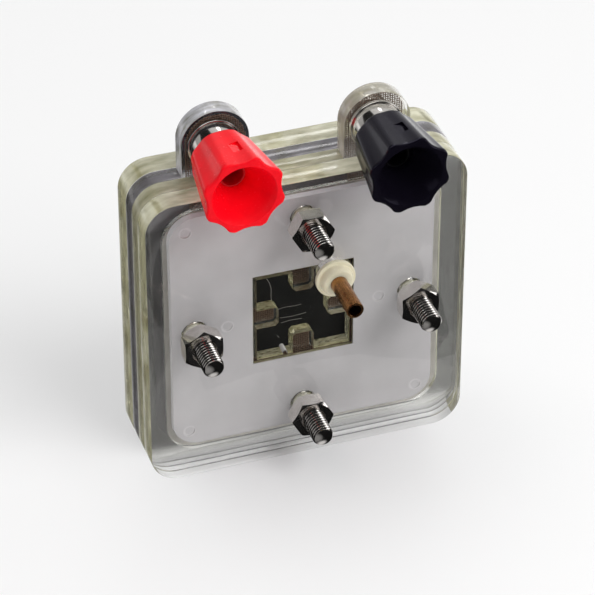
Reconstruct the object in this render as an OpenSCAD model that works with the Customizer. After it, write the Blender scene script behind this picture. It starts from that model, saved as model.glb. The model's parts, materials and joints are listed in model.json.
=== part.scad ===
// Hydrogen fuel cell demonstrator: clamped plates, a membrane sandwich, gas tubes and binding posts.
// Millimetres. X to the right, Y from the front to the back, Z up.
// The origin is the middle of the plates' foot.

/* [Plates] */
// Width and height of the square plates
body_w = 60; // [54:0.5:72]
// Radius of the plates' corners
corner_r = 5.5; // [3:0.5:8]
// Thickness of the clear front cover
front_cover_t = 4.5; // [3:0.25:7]
// Thickness of the clear front frame
front_frame_t = 3.5; // [2.75:0.25:6]
// Thickness of the tinted rear frame
rear_frame_t = 3.5; // [2.75:0.25:6]
// Thickness of the clear back cover
back_cover_t = 5; // [3:0.25:7]

/* [Ears] */
// Width of an ear
ear_w = 12.5; // [12:0.1:14]
// Height of an ear above the plates' top edge
ear_rise = 12.45; // [12:0.05:15]
// Distance from the middle of the plates to the middle of an ear
ear_x = 14.4; // [13:0.2:17]

/* [Gas chambers] */
// Width of the square gas window
window_w = 17.7; // [15:0.1:18.5]
// Width of the raised lip round the window, which the gasket lies round
lip_w = 0.65; // [0.4:0.05:0.9]
// Gap between the lip and the gasket
lip_gap = 0.1; // [0.05:0.05:0.2]
// Width of each tab that points into the window
tab_w = 4; // [2:0.5:6]
// Length of each tab
tab_len = 4.15; // [2:0.05:5.5]
// Chamfer at a tab's two free corners
tab_chamfer = 0.6; // [0.2:0.1:0.8]
// Diameter of the small peg beside the lower tab
peg_d = 0.9; // [0.6:0.1:1.4]
// Distance from the middle of the window to the peg
peg_x = 3.4; // [3.4:0.1:6]
// How far the peg is sunk into the window's lower wall
peg_bite = 0.2; // [0.1:0.05:0.3]
// Width of the gasket left outside its bolt holes
gasket_rim = 1.75; // [1:0.05:2.5]
// Radius of the gasket's corners
gasket_r = 5; // [2:0.5:7]
// Thickness of the gasket
gasket_t = 1; // [0.5:0.1:1.5]
// Gap between the gasket and the wall of its pocket
pocket_gap = 1.25; // [0.5:0.05:1.5]
// Diameter of the gasket's holes round the bolts
gasket_hole_d = 5; // [4.8:0.1:6]
// Diameter of the moulded marks on the gasket
mark_d = 2; // [1:0.1:3]
// Depth of the moulded marks
mark_depth = 0.15; // [0.05:0.05:0.3]
// Distance of the corner marks from the gasket's edges
mark_inset = 3; // [2.5:0.1:4]
// Distance of the side marks from the bolts beside them
mark_gap = 6.1; // [6:0.1:8]

/* [Membrane sandwich] */
// Width of the collector's square ring
collector_w = 26; // [24:0.5:28]
// Thickness of the collector mesh
collector_t = 0.3; // [0.2:0.05:0.5]
// Width of the collector's strip to the ear
strip_w = 11.2; // [10.4:0.1:11.4]
// Width of the bend that lifts the front strip out of its seat
bend_w = 0.5; // [0.3:0.05:0.6]
// How far the collector's opening stands back from the window
collector_set_back = 0.2; // [0.1:0.05:0.5]
// Width of the carbon electrodes
electrode_w = 22; // [21:0.5:23]
// Thickness of an electrode
electrode_t = 0.25; // [0.15:0.05:0.4]
// Width of the membrane
membrane_w = 23; // [22:0.25:23.5]
// Thickness of the membrane
membrane_t = 0.15; // [0.1:0.05:0.3]
// Gap round the collectors in their seats
seat_gap = 0.15; // [0.05:0.05:0.3]

/* [Clamp bolts] */
// Thread diameter of the clamp bolts and of the posts' rear studs
bolt_d = 4; // [3:0.5:4.5]
// Diameter of the circle that the four bolts stand on
bolt_circle_d = 41; // [40:0.5:43]
// How far the bolt tips stand out of the front cover
bolt_stand_out = 9; // [6:0.5:14]
// Depth of the thread down to its pitch line
thread_depth = 0.25; // [0.2:0.05:0.4]
// Chamfer at the bolt tips
bolt_chamfer = 0.3; // [0.2:0.1:0.8]
// Width across the flats of the nuts and bolt heads
hex_af = 7; // [6.5:0.5:8]
// Thickness of the nuts
nut_t = 3.2; // [2.4:0.1:4]
// Thickness of the bolt heads
head_t = 2.8; // [2:0.1:3.5]
// Diameter of the washers under the bolt heads
washer_d = 9; // [8:0.25:10]
// Thickness of those washers
washer_t = 0.8; // [0.5:0.1:1.2]
// Gap round a bolt in a plain hole
hole_gap = 0.2; // [0.1:0.05:0.4]
// Gap between a thread and its nut
thread_gap = 0.05; // [0.02:0.01:0.1]

/* [Gas tubes] */
// Outer diameter of a gas tube
tube_d = 3.2; // [2.8:0.1:3.4]
// Wall of a gas tube
tube_wall = 0.45; // [0.35:0.05:0.7]
// How far a tube stands out of its cover
tube_stand_out = 11; // [7:0.5:16]
// Height of the tube's shoulder, which stops it at the grommet's nose
shoulder = 0.2; // [0.1:0.05:0.25]
// Distance of a tube from the middle of the window, sideways
tube_x = 5; // [3.5:0.1:6]
// Distance of a tube from the middle of the window, upwards
tube_z = 8.2; // [6:0.1:8.2]
// Diameter of the grommet's plug in the cover
plug_d = 5.2; // [4.4:0.1:6]
// Diameter of the grommet's flange
flange_d = 7.5; // [6.8:0.1:8]
// Thickness of the grommet's flange
flange_t = 0.9; // [0.5:0.1:1.5]
// Diameter of the grommet's dome where it meets the flange
dome_d = 6.2; // [5.6:0.1:6.6]
// Diameter of the grommet's nose round the tube
nose_d = 4.2; // [3.9:0.1:4.8]
// Height of the grommet's dome above its flange
dome_t = 1.5; // [0.5:0.1:3]
// Gap round a grommet and round a tube in it
snug_gap = 0.05; // [0.02:0.01:0.1]

/* [Binding posts] */
// How far the posts stand to the left of the middles of their ears
post_shift = 0.45; // [0:0.05:0.5]
// Diameter of the washer against the ear
post_washer_d = 9.7; // [9.6:0.1:10.4]
// Thickness of that washer
post_washer_t = 0.8; // [0.5:0.1:1.2]
// Diameter of the plated collar
collar_d = 9.2; // [8.4:0.1:9.6]
// Length of the collar
collar_len = 3.8; // [3:0.1:6]
// Thread diameter of the stem inside the knob
stem_d = 6; // [5.6:0.1:6.4]
// Length of the stem's thread
stem_len = 6.4; // [6:0.1:8]
// Diameter of the plug socket in the stem
socket_d = 4; // [3:0.1:4.4]
// Depth of the plug socket
socket_depth = 9; // [5:0.1:9.4]
// Thickness of the lock washer behind the ear
lock_washer_t = 0.6; // [0.4:0.1:1.2]
// Outer diameter of the lock washer
lock_washer_d = 7; // [6.4:0.1:7.6]
// Width of the slit in the lock washer
lock_slit = 0.6; // [0.3:0.1:1]
// Thickness of the nut behind the ear
post_nut_t = 2.2; // [1.8:0.1:3.2]
// How far the rear stud stands out of its nut
stud_stand_out = 1; // [0.5:0.1:3]

/* [Knobs] */
// Length of a knob
knob_len = 13.2; // [12.6:0.1:16]
// Diameter over the lobes at the knob's back end
knob_back_d = 11.8; // [11.6:0.1:13]
// Diameter over the lobes at the knob's front rim
knob_front_d = 15.1; // [14.4:0.1:16]
// Rounding of the knob's back edge
back_round = 1.2; // [0.6:0.1:1.4]
// Rounding of the front rim
rim_round = 0.4; // [0.2:0.1:0.5]
// How far the knobs are turned at rest
knob_turn = 5; // [0:1:44]
// Number of flutes round the knob
flute_count = 8; // [6:1:10]
// Radius of a flute
flute_r = 6; // [4:0.5:10]
// Depth of the flutes at the back end
flute_back = 0.35; // [0.2:0.05:0.6]
// Depth of the flutes at the front rim
flute_front = 0.8; // [0.6:0.05:1]
// Diameter of the cup at the knob's front
cup_d = 11.5; // [10.5:0.1:12]
// Depth of the cup
cup_depth = 6.4; // [5.6:0.1:6.6]
// Gap round a plug in the throat between the cup and the socket
throat_gap = 0.3; // [0.2:0.05:0.6]
// Width of the gate mark on the upper flute
gate_w = 1.7; // [0.8:0.1:1.8]
// Length of the gate mark
gate_len = 3.2; // [1:0.1:3.4]
// Depth of the gate mark below the flute's floor
gate_depth = 0.2; // [0.1:0.1:0.5]
// Distance of the gate mark from the knob's back end
gate_at = 5.6; // [4:0.1:6]
// Angle between the gate mark and the middle of its flute
gate_turn = 8; // [0:1:8]
// Outer diameter of the knob's threaded insert
insert_d = 7.8; // [7.4:0.1:8]
// Length of the insert
insert_len = 5; // [4:0.1:5]
// Distance of the insert from the knob's back end
insert_at = 1.4; // [1:0.1:1.6]
// Running gap between the stem, the insert and the knob
run_gap = 0.05; // [0.02:0.01:0.1]

/* [Hidden] */
$fn = 64;
cut = 0.5;

// Depth of each plate's front face, from the front of the stack to its back
stack_t = front_cover_t + front_frame_t + rear_frame_t + back_cover_t;
front_y = -stack_t / 2;
front_frame_y = front_y + front_cover_t;
mid_y = front_frame_y + front_frame_t;
back_cover_y = mid_y + rear_frame_t;
back_y = back_cover_y + back_cover_t;

// Heights and places in the plates' plane, as [x, z]
centre = [0, body_w / 2];
post_z = body_w + ear_rise - ear_w / 2;
left_ear = [-ear_x, post_z];
right_ear = [ear_x, post_z];
red_spot = left_ear - [post_shift, 0];
black_spot = right_ear - [post_shift, 0];
bolt_turns = [0:90:270];
bolt_spots = [for (turn = bolt_turns) bolt_spot(turn)];
hydrogen_spot = centre + [tube_x, tube_z];
oxygen_spot = centre + [-tube_x, tube_z];

// The front recess holds the front collector, both electrodes and the membrane
sandwich_t = collector_t + 2 * electrode_t + membrane_t;
gasket_w = bolt_circle_d + gasket_hole_d + 2 * gasket_rim;
pocket_w = gasket_w + 2 * pocket_gap;
mark_x = bolt_circle_d / 2 - mark_gap;
lip_outer_w = window_w + 2 * lip_w;

// A thread has its full diameter where it is free, and its pitch diameter in a nut or a plain hole
shank_d = bolt_d - 2 * thread_depth;
bolt_hole_d = bolt_d + 2 * hole_gap;
nut_hole_d = shank_d + 2 * thread_gap;

// The tube is thinner below its shoulder, which rests on the grommet's nose
root_d = tube_d - 2 * shoulder;
nose_z = flange_t + dome_t;

// The knob starts where the collar ends, and its throat lets a plug through to the socket
knob_offset = post_washer_t + collar_len;
throat_d = socket_d + 2 * throat_gap;
rim_z = knob_len - rim_round;

// Colours as the photograph shows them
clear_colour = [0.82, 0.82, 0.66, 0.4];
smoke_colour = [0.4, 0.39, 0.45, 0.7];
gasket_colour = [0.69, 0.68, 0.7];
mesh_colour = [0.45, 0.38, 0.33];
carbon_colour = [0.11, 0.1, 0.1];
membrane_colour = [0.75, 0.72, 0.62];
steel_colour = [0.75, 0.75, 0.76];
nickel_colour = [0.68, 0.66, 0.64];
ivory_colour = [0.88, 0.85, 0.72];
copper_colour = [0.58, 0.36, 0.18];
red_colour = [0.95, 0.07, 0.12];
black_colour = [0.08, 0.07, 0.1];
brass_colour = [0.72, 0.6, 0.3];

function bolt_spot(turn) = centre + bolt_circle_d / 2 * [cos(turn), sin(turn)];

// Extrudes an outline drawn as [x, z] backwards from a depth
module slab(y_front, depth)
    translate([0, y_front + depth, 0])
        rotate([90, 0, 0])
            linear_extrude(depth) children();

// A round rod along Y, from a depth backwards
module rod(spot, y_front, length, d)
    translate([spot.x, y_front + length, spot.y])
        rotate([90, 0, 0])
            cylinder(h = length, d = d);

// Places a piece turned about Z so that its axis points to the front
module facing_front(spot, y_back)
    translate([spot.x, y_back, spot.y])
        rotate([90, 0, 0]) children();

// Places a piece turned about Z so that its axis points to the back
module facing_back(spot, y_front)
    translate([spot.x, y_front, spot.y])
        rotate([-90, 0, 0]) children();

module rounded_square(width, radius)
    translate(centre) {
        square([width, width - 2 * radius], center = true);
        square([width - 2 * radius, width], center = true);
        for (side = [-1, 1], level = [-1, 1])
            translate((width / 2 - radius) * [side, level]) circle(radius);
    }

module centred_square(width)
    translate(centre) square(width, center = true);

// The ear's outline, which reaches down into the plate
module ear_outline(ear) {
    translate([ear.x - ear_w / 2, body_w - corner_r])
        square([ear_w, ear.y - body_w + corner_r]);
    translate(ear) circle(d = ear_w);
}

// The square window without its four tabs, grown by a gap
module window_outline(grow) {
    root_x = window_w / 2 + grow + cut;
    tip_x = window_w / 2 - tab_len + grow;
    side = tab_w / 2 - grow;
    difference() {
        centred_square(window_w + 2 * grow);
        for (turn = [0:90:270])
            translate(centre)
                rotate(turn)
                    polygon([
                        [root_x, -side], [root_x, side], [tip_x + tab_chamfer, side],
                        [tip_x, side - tab_chamfer], [tip_x, tab_chamfer - side], [tip_x + tab_chamfer, -side],
                    ]);
    }
}

// The collector's strip from the ring's top edge to the ear, grown by a gap
module strip_outline(ear, grow) {
    foot_z = centre.y + collector_w / 2 - bend_w;
    width = strip_w + 2 * grow;
    translate([ear.x - width / 2, foot_z - grow])
        square([width, ear.y - foot_z + grow]);
    translate(ear) circle(d = width);
}

module bolt_holes(y_front, depth)
    for (spot = bolt_spots)
        rod(spot, y_front - cut, depth + 2 * cut, bolt_hole_d);

module cover_plate(y_front, depth, tube_spot)
    difference() {
        slab(y_front, depth) rounded_square(body_w, corner_r);
        bolt_holes(y_front, depth);
        rod(tube_spot, y_front - cut, depth + 2 * cut, plug_d + 2 * snug_gap);
    }

// A frame plate with its ear, window, bolt holes and post hole
module frame_plate(y_front, depth, ear, post)
    difference() {
        slab(y_front, depth)
            difference() {
                union() {
                    rounded_square(body_w, corner_r);
                    ear_outline(ear);
                }
                window_outline(0);
            }
        bolt_holes(y_front, depth);
        rod(post, y_front - cut, depth + 2 * cut, bolt_hole_d);
    }

// The gasket's pocket, which leaves the lip and the tabs inside it standing
module pocket(y_front, depth)
    slab(y_front, depth)
        difference() {
            rounded_square(pocket_w, gasket_r + pocket_gap);
            centred_square(lip_outer_w);
        }

module peg(y_front, depth)
    rod(centre + [-peg_x, (peg_d - window_w) / 2 - peg_bite], y_front, depth, peg_d);

module gasket(y_front, marked_y)
    difference() {
        slab(y_front, gasket_t)
            difference() {
                rounded_square(gasket_w, gasket_r);
                centred_square(lip_outer_w + 2 * lip_gap);
                for (spot = bolt_spots)
                    translate(spot) circle(d = gasket_hole_d);
            }
        for (side = [-1, 1]) {
            rod(centre + [side * mark_x, 0], marked_y - mark_depth, 2 * mark_depth, mark_d);
            for (level = [-1, 1])
                rod(centre + (gasket_w / 2 - mark_inset) * [side, level],
                    marked_y - mark_depth, 2 * mark_depth, mark_d);
        }
    }

// The collector's square ring, which leaves the window free and reaches under its tabs
module ring_outline()
    difference() {
        centred_square(collector_w);
        window_outline(collector_set_back);
    }

module electrode(y_front)
    slab(y_front, electrode_t) centred_square(electrode_w);

// A hexagon prism with its corners turned down at one end or both
module hex_prism(depth, both_ends) {
    corner_d = hex_af / cos(30);
    bevel = (corner_d - hex_af) / 2 * tan(30);
    foot = both_ends ? bevel : 0;
    intersection() {
        rotate(30) cylinder(h = depth, d = corner_d, $fn = 6);
        rotate_extrude()
            polygon([
                [0, 0], [both_ends ? hex_af / 2 : corner_d / 2, 0], [corner_d / 2, foot],
                [corner_d / 2, depth - bevel], [hex_af / 2, depth], [0, depth],
            ]);
    }
}

// A nut that stands on its seat
module hex_nut(depth)
    difference() {
        hex_prism(depth, true);
        translate([0, 0, -cut]) cylinder(h = depth + 2 * cut, d = nut_hole_d);
    }

// A post's nut, with a flat side up
module post_nut() rotate(30) hex_nut(post_nut_t);

module washer_ring(depth, outer_d)
    difference() {
        cylinder(h = depth, d = outer_d);
        translate([0, 0, -cut]) cylinder(h = depth + 2 * cut, d = bolt_hole_d);
    }

// A hex bolt that hangs from the face under its head: a shank to the nut's face, then the free thread
module hex_bolt(shank_len, free_len) {
    hex_prism(head_t, false);
    rotate([180, 0, 0]) {
        cylinder(h = shank_len, d = shank_d);
        translate([0, 0, shank_len]) {
            cylinder(h = free_len - bolt_chamfer, d = bolt_d);
            translate([0, 0, free_len - bolt_chamfer])
                cylinder(h = bolt_chamfer, d1 = bolt_d, d2 = bolt_d - 2 * bolt_chamfer);
        }
    }
}

// A rubber grommet that stands on its cover's outer face, with its plug below
module grommet(cover_t) {
    grip_r = root_d / 2 + snug_gap;
    rotate_extrude()
        polygon([
            [grip_r, -cover_t], [plug_d / 2, -cover_t], [plug_d / 2, 0],
            [flange_d / 2, 0], [flange_d / 2, flange_t], [dome_d / 2, flange_t],
            [nose_d / 2, nose_z], [grip_r, nose_z],
        ]);
}

// A gas tube: a thinner root in the grommet, and a free end above the grommet's nose
module gas_tube(cover_t)
    difference() {
        union() {
            translate([0, 0, -cover_t]) cylinder(h = cover_t + nose_z, d = root_d);
            translate([0, 0, nose_z]) cylinder(h = tube_stand_out - nose_z, d = tube_d);
        }
        translate([0, 0, -cover_t - cut])
            cylinder(h = cover_t + tube_stand_out + 2 * cut, d = tube_d - 2 * tube_wall);
    }

// A post's stem: rear stud through the ear, collar, thread and plug socket
module post_stem(ear_t) {
    rear_len = ear_t + lock_washer_t + post_nut_t + stud_stand_out;
    difference() {
        union() {
            translate([0, 0, -rear_len]) cylinder(h = rear_len + post_washer_t, d = shank_d);
            translate([0, 0, post_washer_t]) cylinder(h = collar_len, d = collar_d);
            translate([0, 0, knob_offset]) cylinder(h = stem_len, d = stem_d);
        }
        translate([0, 0, knob_offset + stem_len - socket_depth])
            cylinder(h = socket_depth + cut, d = socket_d);
    }
}

module lock_washer()
    difference() {
        washer_ring(lock_washer_t, lock_washer_d);
        translate([-lock_slit / 2, 0, -cut]) cube([lock_slit, lock_washer_d, lock_washer_t + 2 * cut]);
    }

module knob_insert()
    difference() {
        translate([0, 0, insert_at + run_gap]) cylinder(h = insert_len - 2 * run_gap, d = insert_d);
        cylinder(h = knob_len, d = stem_d + 2 * run_gap);
    }

// Radius over the lobes, and of the flutes' floor, at a distance from the knob's back end
function along_knob(back, front, z) = back + (front - back) * (z - back_round) / (rim_z - back_round);
function lobe_radius(z) = along_knob(knob_back_d, knob_front_d, z) / 2;
function floor_radius(z) = lobe_radius(z) - along_knob(flute_back, flute_front, z);

// A quarter disc outside a radius, which reaches forwards from a distance, or backwards if reach is negative
module edge_round(inner_r, z, reach)
    translate([inner_r, z])
        intersection() {
            circle(abs(reach));
            translate([0, min(0, reach)]) square(abs(reach));
        }

// The knob's tapered outside, with a rounded back edge and front rim
module knob_blank()
    rotate_extrude() {
        square([knob_back_d / 2 - back_round, back_round]);
        edge_round(knob_back_d / 2 - back_round, back_round, -back_round);
        polygon([
            [0, back_round], [lobe_radius(back_round), back_round],
            [lobe_radius(rim_z), rim_z], [0, rim_z],
        ]);
        translate([0, rim_z]) square([knob_front_d / 2 - rim_round, rim_round]);
        edge_round(knob_front_d / 2 - rim_round, rim_z, rim_round);
    }

// One flute, a cylinder that leans outwards with the taper
module knob_flute() {
    lean = atan((floor_radius(knob_len) - floor_radius(0)) / knob_len);
    translate([floor_radius(0) + flute_r, 0, 0])
        rotate([0, lean, 0])
            translate([0, 0, -knob_len / 2]) cylinder(h = 2 * knob_len, r = flute_r);
}

// A knob, whose first flute is the upper one
module knob()
    rotate(90 + knob_turn)
        difference() {
            knob_blank();
            for (turn = [0:flute_count - 1])
                rotate(360 / flute_count * turn) knob_flute();
            // Gate mark on the upper flute
            rotate(-gate_turn)
                translate([floor_radius(gate_at) - gate_depth, -gate_w / 2, gate_at])
                    cube([knob_front_d, gate_w, gate_len]);
            // Cup, throat, seat of the insert and passage of the stem
            rotate_extrude()
                polygon([
                    [0, -cut], [stem_d / 2 + 2 * run_gap, -cut], [stem_d / 2 + 2 * run_gap, insert_at],
                    [insert_d / 2 + run_gap, insert_at], [insert_d / 2 + run_gap, insert_at + insert_len],
                    [throat_d / 2, insert_at + insert_len], [throat_d / 2, knob_len - cup_depth],
                    [cup_d / 2, knob_len], [cup_d / 2, knob_len + cut], [0, knob_len + cut],
                ]);
        }

module front_cover() color(clear_colour) cover_plate(front_y, front_cover_t, hydrogen_spot);

module front_gasket() color(gasket_colour) gasket(front_frame_y, front_frame_y);

module front_frame()
    color(clear_colour) {
        difference() {
            frame_plate(front_frame_y, front_frame_t, right_ear, black_spot);
            pocket(front_frame_y - cut, gasket_t + cut);
            slab(mid_y - sandwich_t, sandwich_t + cut) centred_square(collector_w + 2 * seat_gap);
            slab(mid_y - collector_t, collector_t + cut) strip_outline(right_ear, seat_gap);
        }
        peg(front_frame_y, front_frame_t - sandwich_t);
    }

module front_collector() {
    bend_x = right_ear.x - strip_w / 2;
    color(mesh_colour)
        difference() {
            union() {
                slab(mid_y - sandwich_t, collector_t) ring_outline();
                slab(mid_y - sandwich_t, sandwich_t)
                    translate([bend_x, centre.y + collector_w / 2 - bend_w])
                        square([collector_w / 2 - bend_x, bend_w]);
                slab(mid_y - collector_t, collector_t) strip_outline(right_ear, 0);
            }
            rod(black_spot, mid_y - collector_t - cut, collector_t + 2 * cut, bolt_hole_d);
        }
}

module front_electrode() color(carbon_colour) electrode(mid_y - 2 * electrode_t - membrane_t);

module membrane()
    color(membrane_colour)
        slab(mid_y - electrode_t - membrane_t, membrane_t) centred_square(membrane_w);

module rear_electrode() color(carbon_colour) electrode(mid_y - electrode_t);

module rear_collector()
    color(mesh_colour)
        difference() {
            slab(mid_y, collector_t) {
                ring_outline();
                strip_outline(left_ear, 0);
            }
            rod(red_spot, mid_y - cut, collector_t + 2 * cut, bolt_hole_d);
        }

module rear_frame()
    color(smoke_colour) {
        difference() {
            frame_plate(mid_y, rear_frame_t, left_ear, red_spot);
            pocket(back_cover_y - gasket_t, gasket_t + cut);
            slab(mid_y - cut, collector_t + cut) centred_square(collector_w + 2 * seat_gap);
            slab(mid_y - cut, collector_t + cut) strip_outline(left_ear, seat_gap);
        }
        peg(mid_y + collector_t, rear_frame_t - collector_t);
    }

module rear_gasket() color(gasket_colour) gasket(back_cover_y - gasket_t, back_cover_y);

module back_cover() color(clear_colour) cover_plate(back_cover_y, back_cover_t, oxygen_spot);

// The bolts and nuts are turned with their places on the bolt circle
module clamp_bolts()
    color(steel_colour)
        for (turn = bolt_turns)
            facing_back(bolt_spot(turn), back_y + washer_t)
                rotate(turn) hex_bolt(washer_t + stack_t + nut_t, bolt_stand_out - nut_t);

module clamp_nuts()
    color(steel_colour)
        for (turn = bolt_turns)
            facing_front(bolt_spot(turn), front_y)
                rotate(turn) hex_nut(nut_t);

module bolt_washers()
    color(steel_colour)
        for (spot = bolt_spots)
            facing_back(spot, back_y) washer_ring(washer_t, washer_d);

module hydrogen_grommet() color(ivory_colour) facing_front(hydrogen_spot, front_y) grommet(front_cover_t);

module hydrogen_tube() color(copper_colour) facing_front(hydrogen_spot, front_y) gas_tube(front_cover_t);

module oxygen_grommet() color(ivory_colour) facing_back(oxygen_spot, back_y) grommet(back_cover_t);

module oxygen_tube() color(copper_colour) facing_back(oxygen_spot, back_y) gas_tube(back_cover_t);

// The red post stands on the rear frame's ear, the black post on the front frame's ear
module red_washer()
    color(nickel_colour)
        facing_front(red_spot, mid_y) washer_ring(post_washer_t, post_washer_d);

module red_stem() color(nickel_colour) facing_front(red_spot, mid_y) post_stem(rear_frame_t);

module red_lock_washer() color(steel_colour) facing_back(red_spot, back_cover_y) lock_washer();

module red_nut() color(steel_colour) facing_back(red_spot, back_cover_y + lock_washer_t) post_nut();

module red_insert() color(brass_colour) facing_front(red_spot, mid_y - knob_offset) knob_insert();

module red_knob() color(red_colour) facing_front(red_spot, mid_y - knob_offset) knob();

module black_washer()
    color(nickel_colour)
        facing_front(black_spot, front_frame_y) washer_ring(post_washer_t, post_washer_d);

module black_stem() color(nickel_colour) facing_front(black_spot, front_frame_y) post_stem(front_frame_t);

module black_lock_washer() color(steel_colour) facing_back(black_spot, mid_y) lock_washer();

module black_nut() color(steel_colour) facing_back(black_spot, mid_y + lock_washer_t) post_nut();

module black_insert()
    color(brass_colour)
        facing_front(black_spot, front_frame_y - knob_offset) knob_insert();

module black_knob() color(black_colour) facing_front(black_spot, front_frame_y - knob_offset) knob();

front_cover();
front_gasket();
front_frame();
front_collector();
front_electrode();
membrane();
rear_electrode();
rear_collector();
rear_frame();
rear_gasket();
back_cover();
clamp_bolts();
clamp_nuts();
bolt_washers();
hydrogen_grommet();
hydrogen_tube();
oxygen_grommet();
oxygen_tube();
red_washer();
red_stem();
red_lock_washer();
red_nut();
red_insert();
red_knob();
black_washer();
black_stem();
black_lock_washer();
black_nut();
black_insert();
black_knob();
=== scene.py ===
"""Looks for a hydrogen fuel cell demonstrator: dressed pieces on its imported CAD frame.

Run as a script, it builds every piece of the cell, then the studio floor, the lamps and the camera.
"""

import json
import math

import bmesh
import bpy
from bpy.props import FloatProperty, FloatVectorProperty, IntProperty, PointerProperty
from mathutils import Matrix, Vector

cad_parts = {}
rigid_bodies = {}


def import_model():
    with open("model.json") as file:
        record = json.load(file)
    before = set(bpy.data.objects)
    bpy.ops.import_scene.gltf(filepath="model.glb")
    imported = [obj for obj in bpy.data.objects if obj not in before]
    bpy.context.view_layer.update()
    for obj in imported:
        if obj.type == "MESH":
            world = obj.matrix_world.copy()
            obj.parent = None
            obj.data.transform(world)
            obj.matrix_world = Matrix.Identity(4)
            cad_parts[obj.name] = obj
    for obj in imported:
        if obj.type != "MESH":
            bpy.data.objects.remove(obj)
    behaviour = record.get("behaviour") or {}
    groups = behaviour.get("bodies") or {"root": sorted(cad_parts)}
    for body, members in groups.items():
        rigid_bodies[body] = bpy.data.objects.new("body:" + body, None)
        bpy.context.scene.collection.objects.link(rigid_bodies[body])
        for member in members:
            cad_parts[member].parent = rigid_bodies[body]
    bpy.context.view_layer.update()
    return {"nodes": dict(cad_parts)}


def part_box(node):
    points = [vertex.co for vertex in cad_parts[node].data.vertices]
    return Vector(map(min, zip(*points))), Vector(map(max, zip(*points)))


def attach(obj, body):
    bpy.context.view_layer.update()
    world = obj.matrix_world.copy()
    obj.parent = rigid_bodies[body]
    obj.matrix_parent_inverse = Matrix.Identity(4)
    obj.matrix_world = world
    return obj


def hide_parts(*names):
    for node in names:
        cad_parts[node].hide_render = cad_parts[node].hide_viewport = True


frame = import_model()

bl_info = {
    "name": "Fuel Cell Demonstrator",
    "version": (1, 0, 0),
    "blender": (4, 5, 0),
    "location": "3D View > Sidebar > Fuel Cell",
    "description": "Builds the dressed pieces of a hydrogen fuel cell demonstrator on its CAD frame",
    "category": "Mesh",
}

MM = 0.001
TURN = 2 * math.pi
CELL = "cell"
# The Y axis in the front view
HOME = (0.0, 0.0)
# Points closer than this are welded
WELD = 1e-7
# Radius of the pinhole that closes a solid turned piece on its axis
PINHOLE = 0.02 * MM
# How far a cutter stands out of what it cuts
OVERCUT = MM
# Room between a piece and the hole it sits in
SLACK = 0.05 * MM
PLASTIC_IOR = 1.49
# Material slots of a plate; each milled pocket has its own, from POCKET on
FACE, EDGE, WALL, FOOT, EAR, POCKET = range(6)


def size(name, description, millimetres):
    """A length, shown in the scene's units."""
    return FloatProperty(
        name=name, description=description, default=millimetres * MM, unit="LENGTH", precision=5
    )


def angle(name, description, degrees):
    return FloatProperty(
        name=name, description=description, default=math.radians(degrees), subtype="ANGLE"
    )


def colour(name, description, value):
    """A linear colour."""
    return FloatVectorProperty(
        name=name, description=description, default=value, subtype="COLOR", size=3, min=0, max=1
    )


class PlateSizes(bpy.types.PropertyGroup):
    """Sizes of the clear and smoke plates"""

    corner_radius: size("Corner radius", "Radius of the plates' corners", 5.5)
    outer_ease: size("Outer edge", "Rounding of the stack's front and back edges", 0.14)
    joint_ease: size("Joint edge", "Rounding along the joints between plates", 0.09)
    air_gap: size("Air gap", "Air between two faces that touch", 0.05)
    ear_width: size("Ear width", "Width of the ears", 12.5)
    ear_offset: size("Ear offset", "Distance of the ears from the middle", 14.4)
    bolt_hole: size("Bolt hole", "Diameter of the bolt and post holes", 4.4)
    plug_hole: size("Plug hole", "Diameter of the holes for the grommets", 5.3)
    window: size("Window", "Side of the square window", 17.7)
    lip: size("Lip", "Width of the raised lip round the window", 0.65)
    tab_width: size("Tab width", "Width of the window's tabs", 4)
    tab_length: size("Tab length", "Length of the window's tabs", 4.15)
    tab_chamfer: size("Tab chamfer", "Chamfer at the tabs' free corners", 0.6)
    pocket_width: size("Pocket width", "Side of the gasket's pocket", 52)
    pocket_radius: size("Pocket radius", "Corner radius of the gasket's pocket", 6.25)
    pocket_depth: size("Pocket depth", "Depth of the gasket's pocket", 1)
    seat_width: size("Seat width", "Side of the collector's square seat", 26.3)
    strip_width: size("Strip seat width", "Width of the seat of the collector's strip", 11.5)
    strip_foot: size("Strip foot", "Height where the strip leaves the collector's ring", 42.4)
    peg_diameter: size("Peg diameter", "Diameter of the peg in the window's lower side", 0.9)
    peg_offset: size("Peg offset", "Distance of the peg from the window's middle", 3.4)
    peg_bite: size("Peg bite", "How far the peg sits in the window's side", 0.2)
    mark_diameter: size("Mark diameter", "Diameter of the moulded marks on the gaskets", 2)
    mark_inset: size("Mark inset", "Distance of the corner marks from the gaskets' edges", 3)
    mark_gap: size("Mark gap", "Distance of the side marks from the bolts beside them", 6.1)


class FastenerSizes(bpy.types.PropertyGroup):
    """Sizes of the clamp bolts, nuts and washers"""

    bolt_circle: size("Bolt circle", "Diameter of the circle of clamp bolts", 41)
    flats: size("Across flats", "Width of the hexagons across their flats", 7)
    thread: size("Thread", "Outer diameter of the threads", 4)
    pitch: size("Pitch", "Pitch of the threads", 0.7)
    thread_depth: size("Thread depth", "Depth of the threads", 0.36)
    tip_chamfer: size("Tip chamfer", "Chamfer at the bolts' tips", 0.3)
    tip_dome: size("Tip dome", "Height of the bolts' domed ends", 0.28)
    washer_bore: size("Washer bore", "Bore of the washers", 4.4)
    ease: size("Edge", "Rounding of the turned edges", 0.12)


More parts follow.
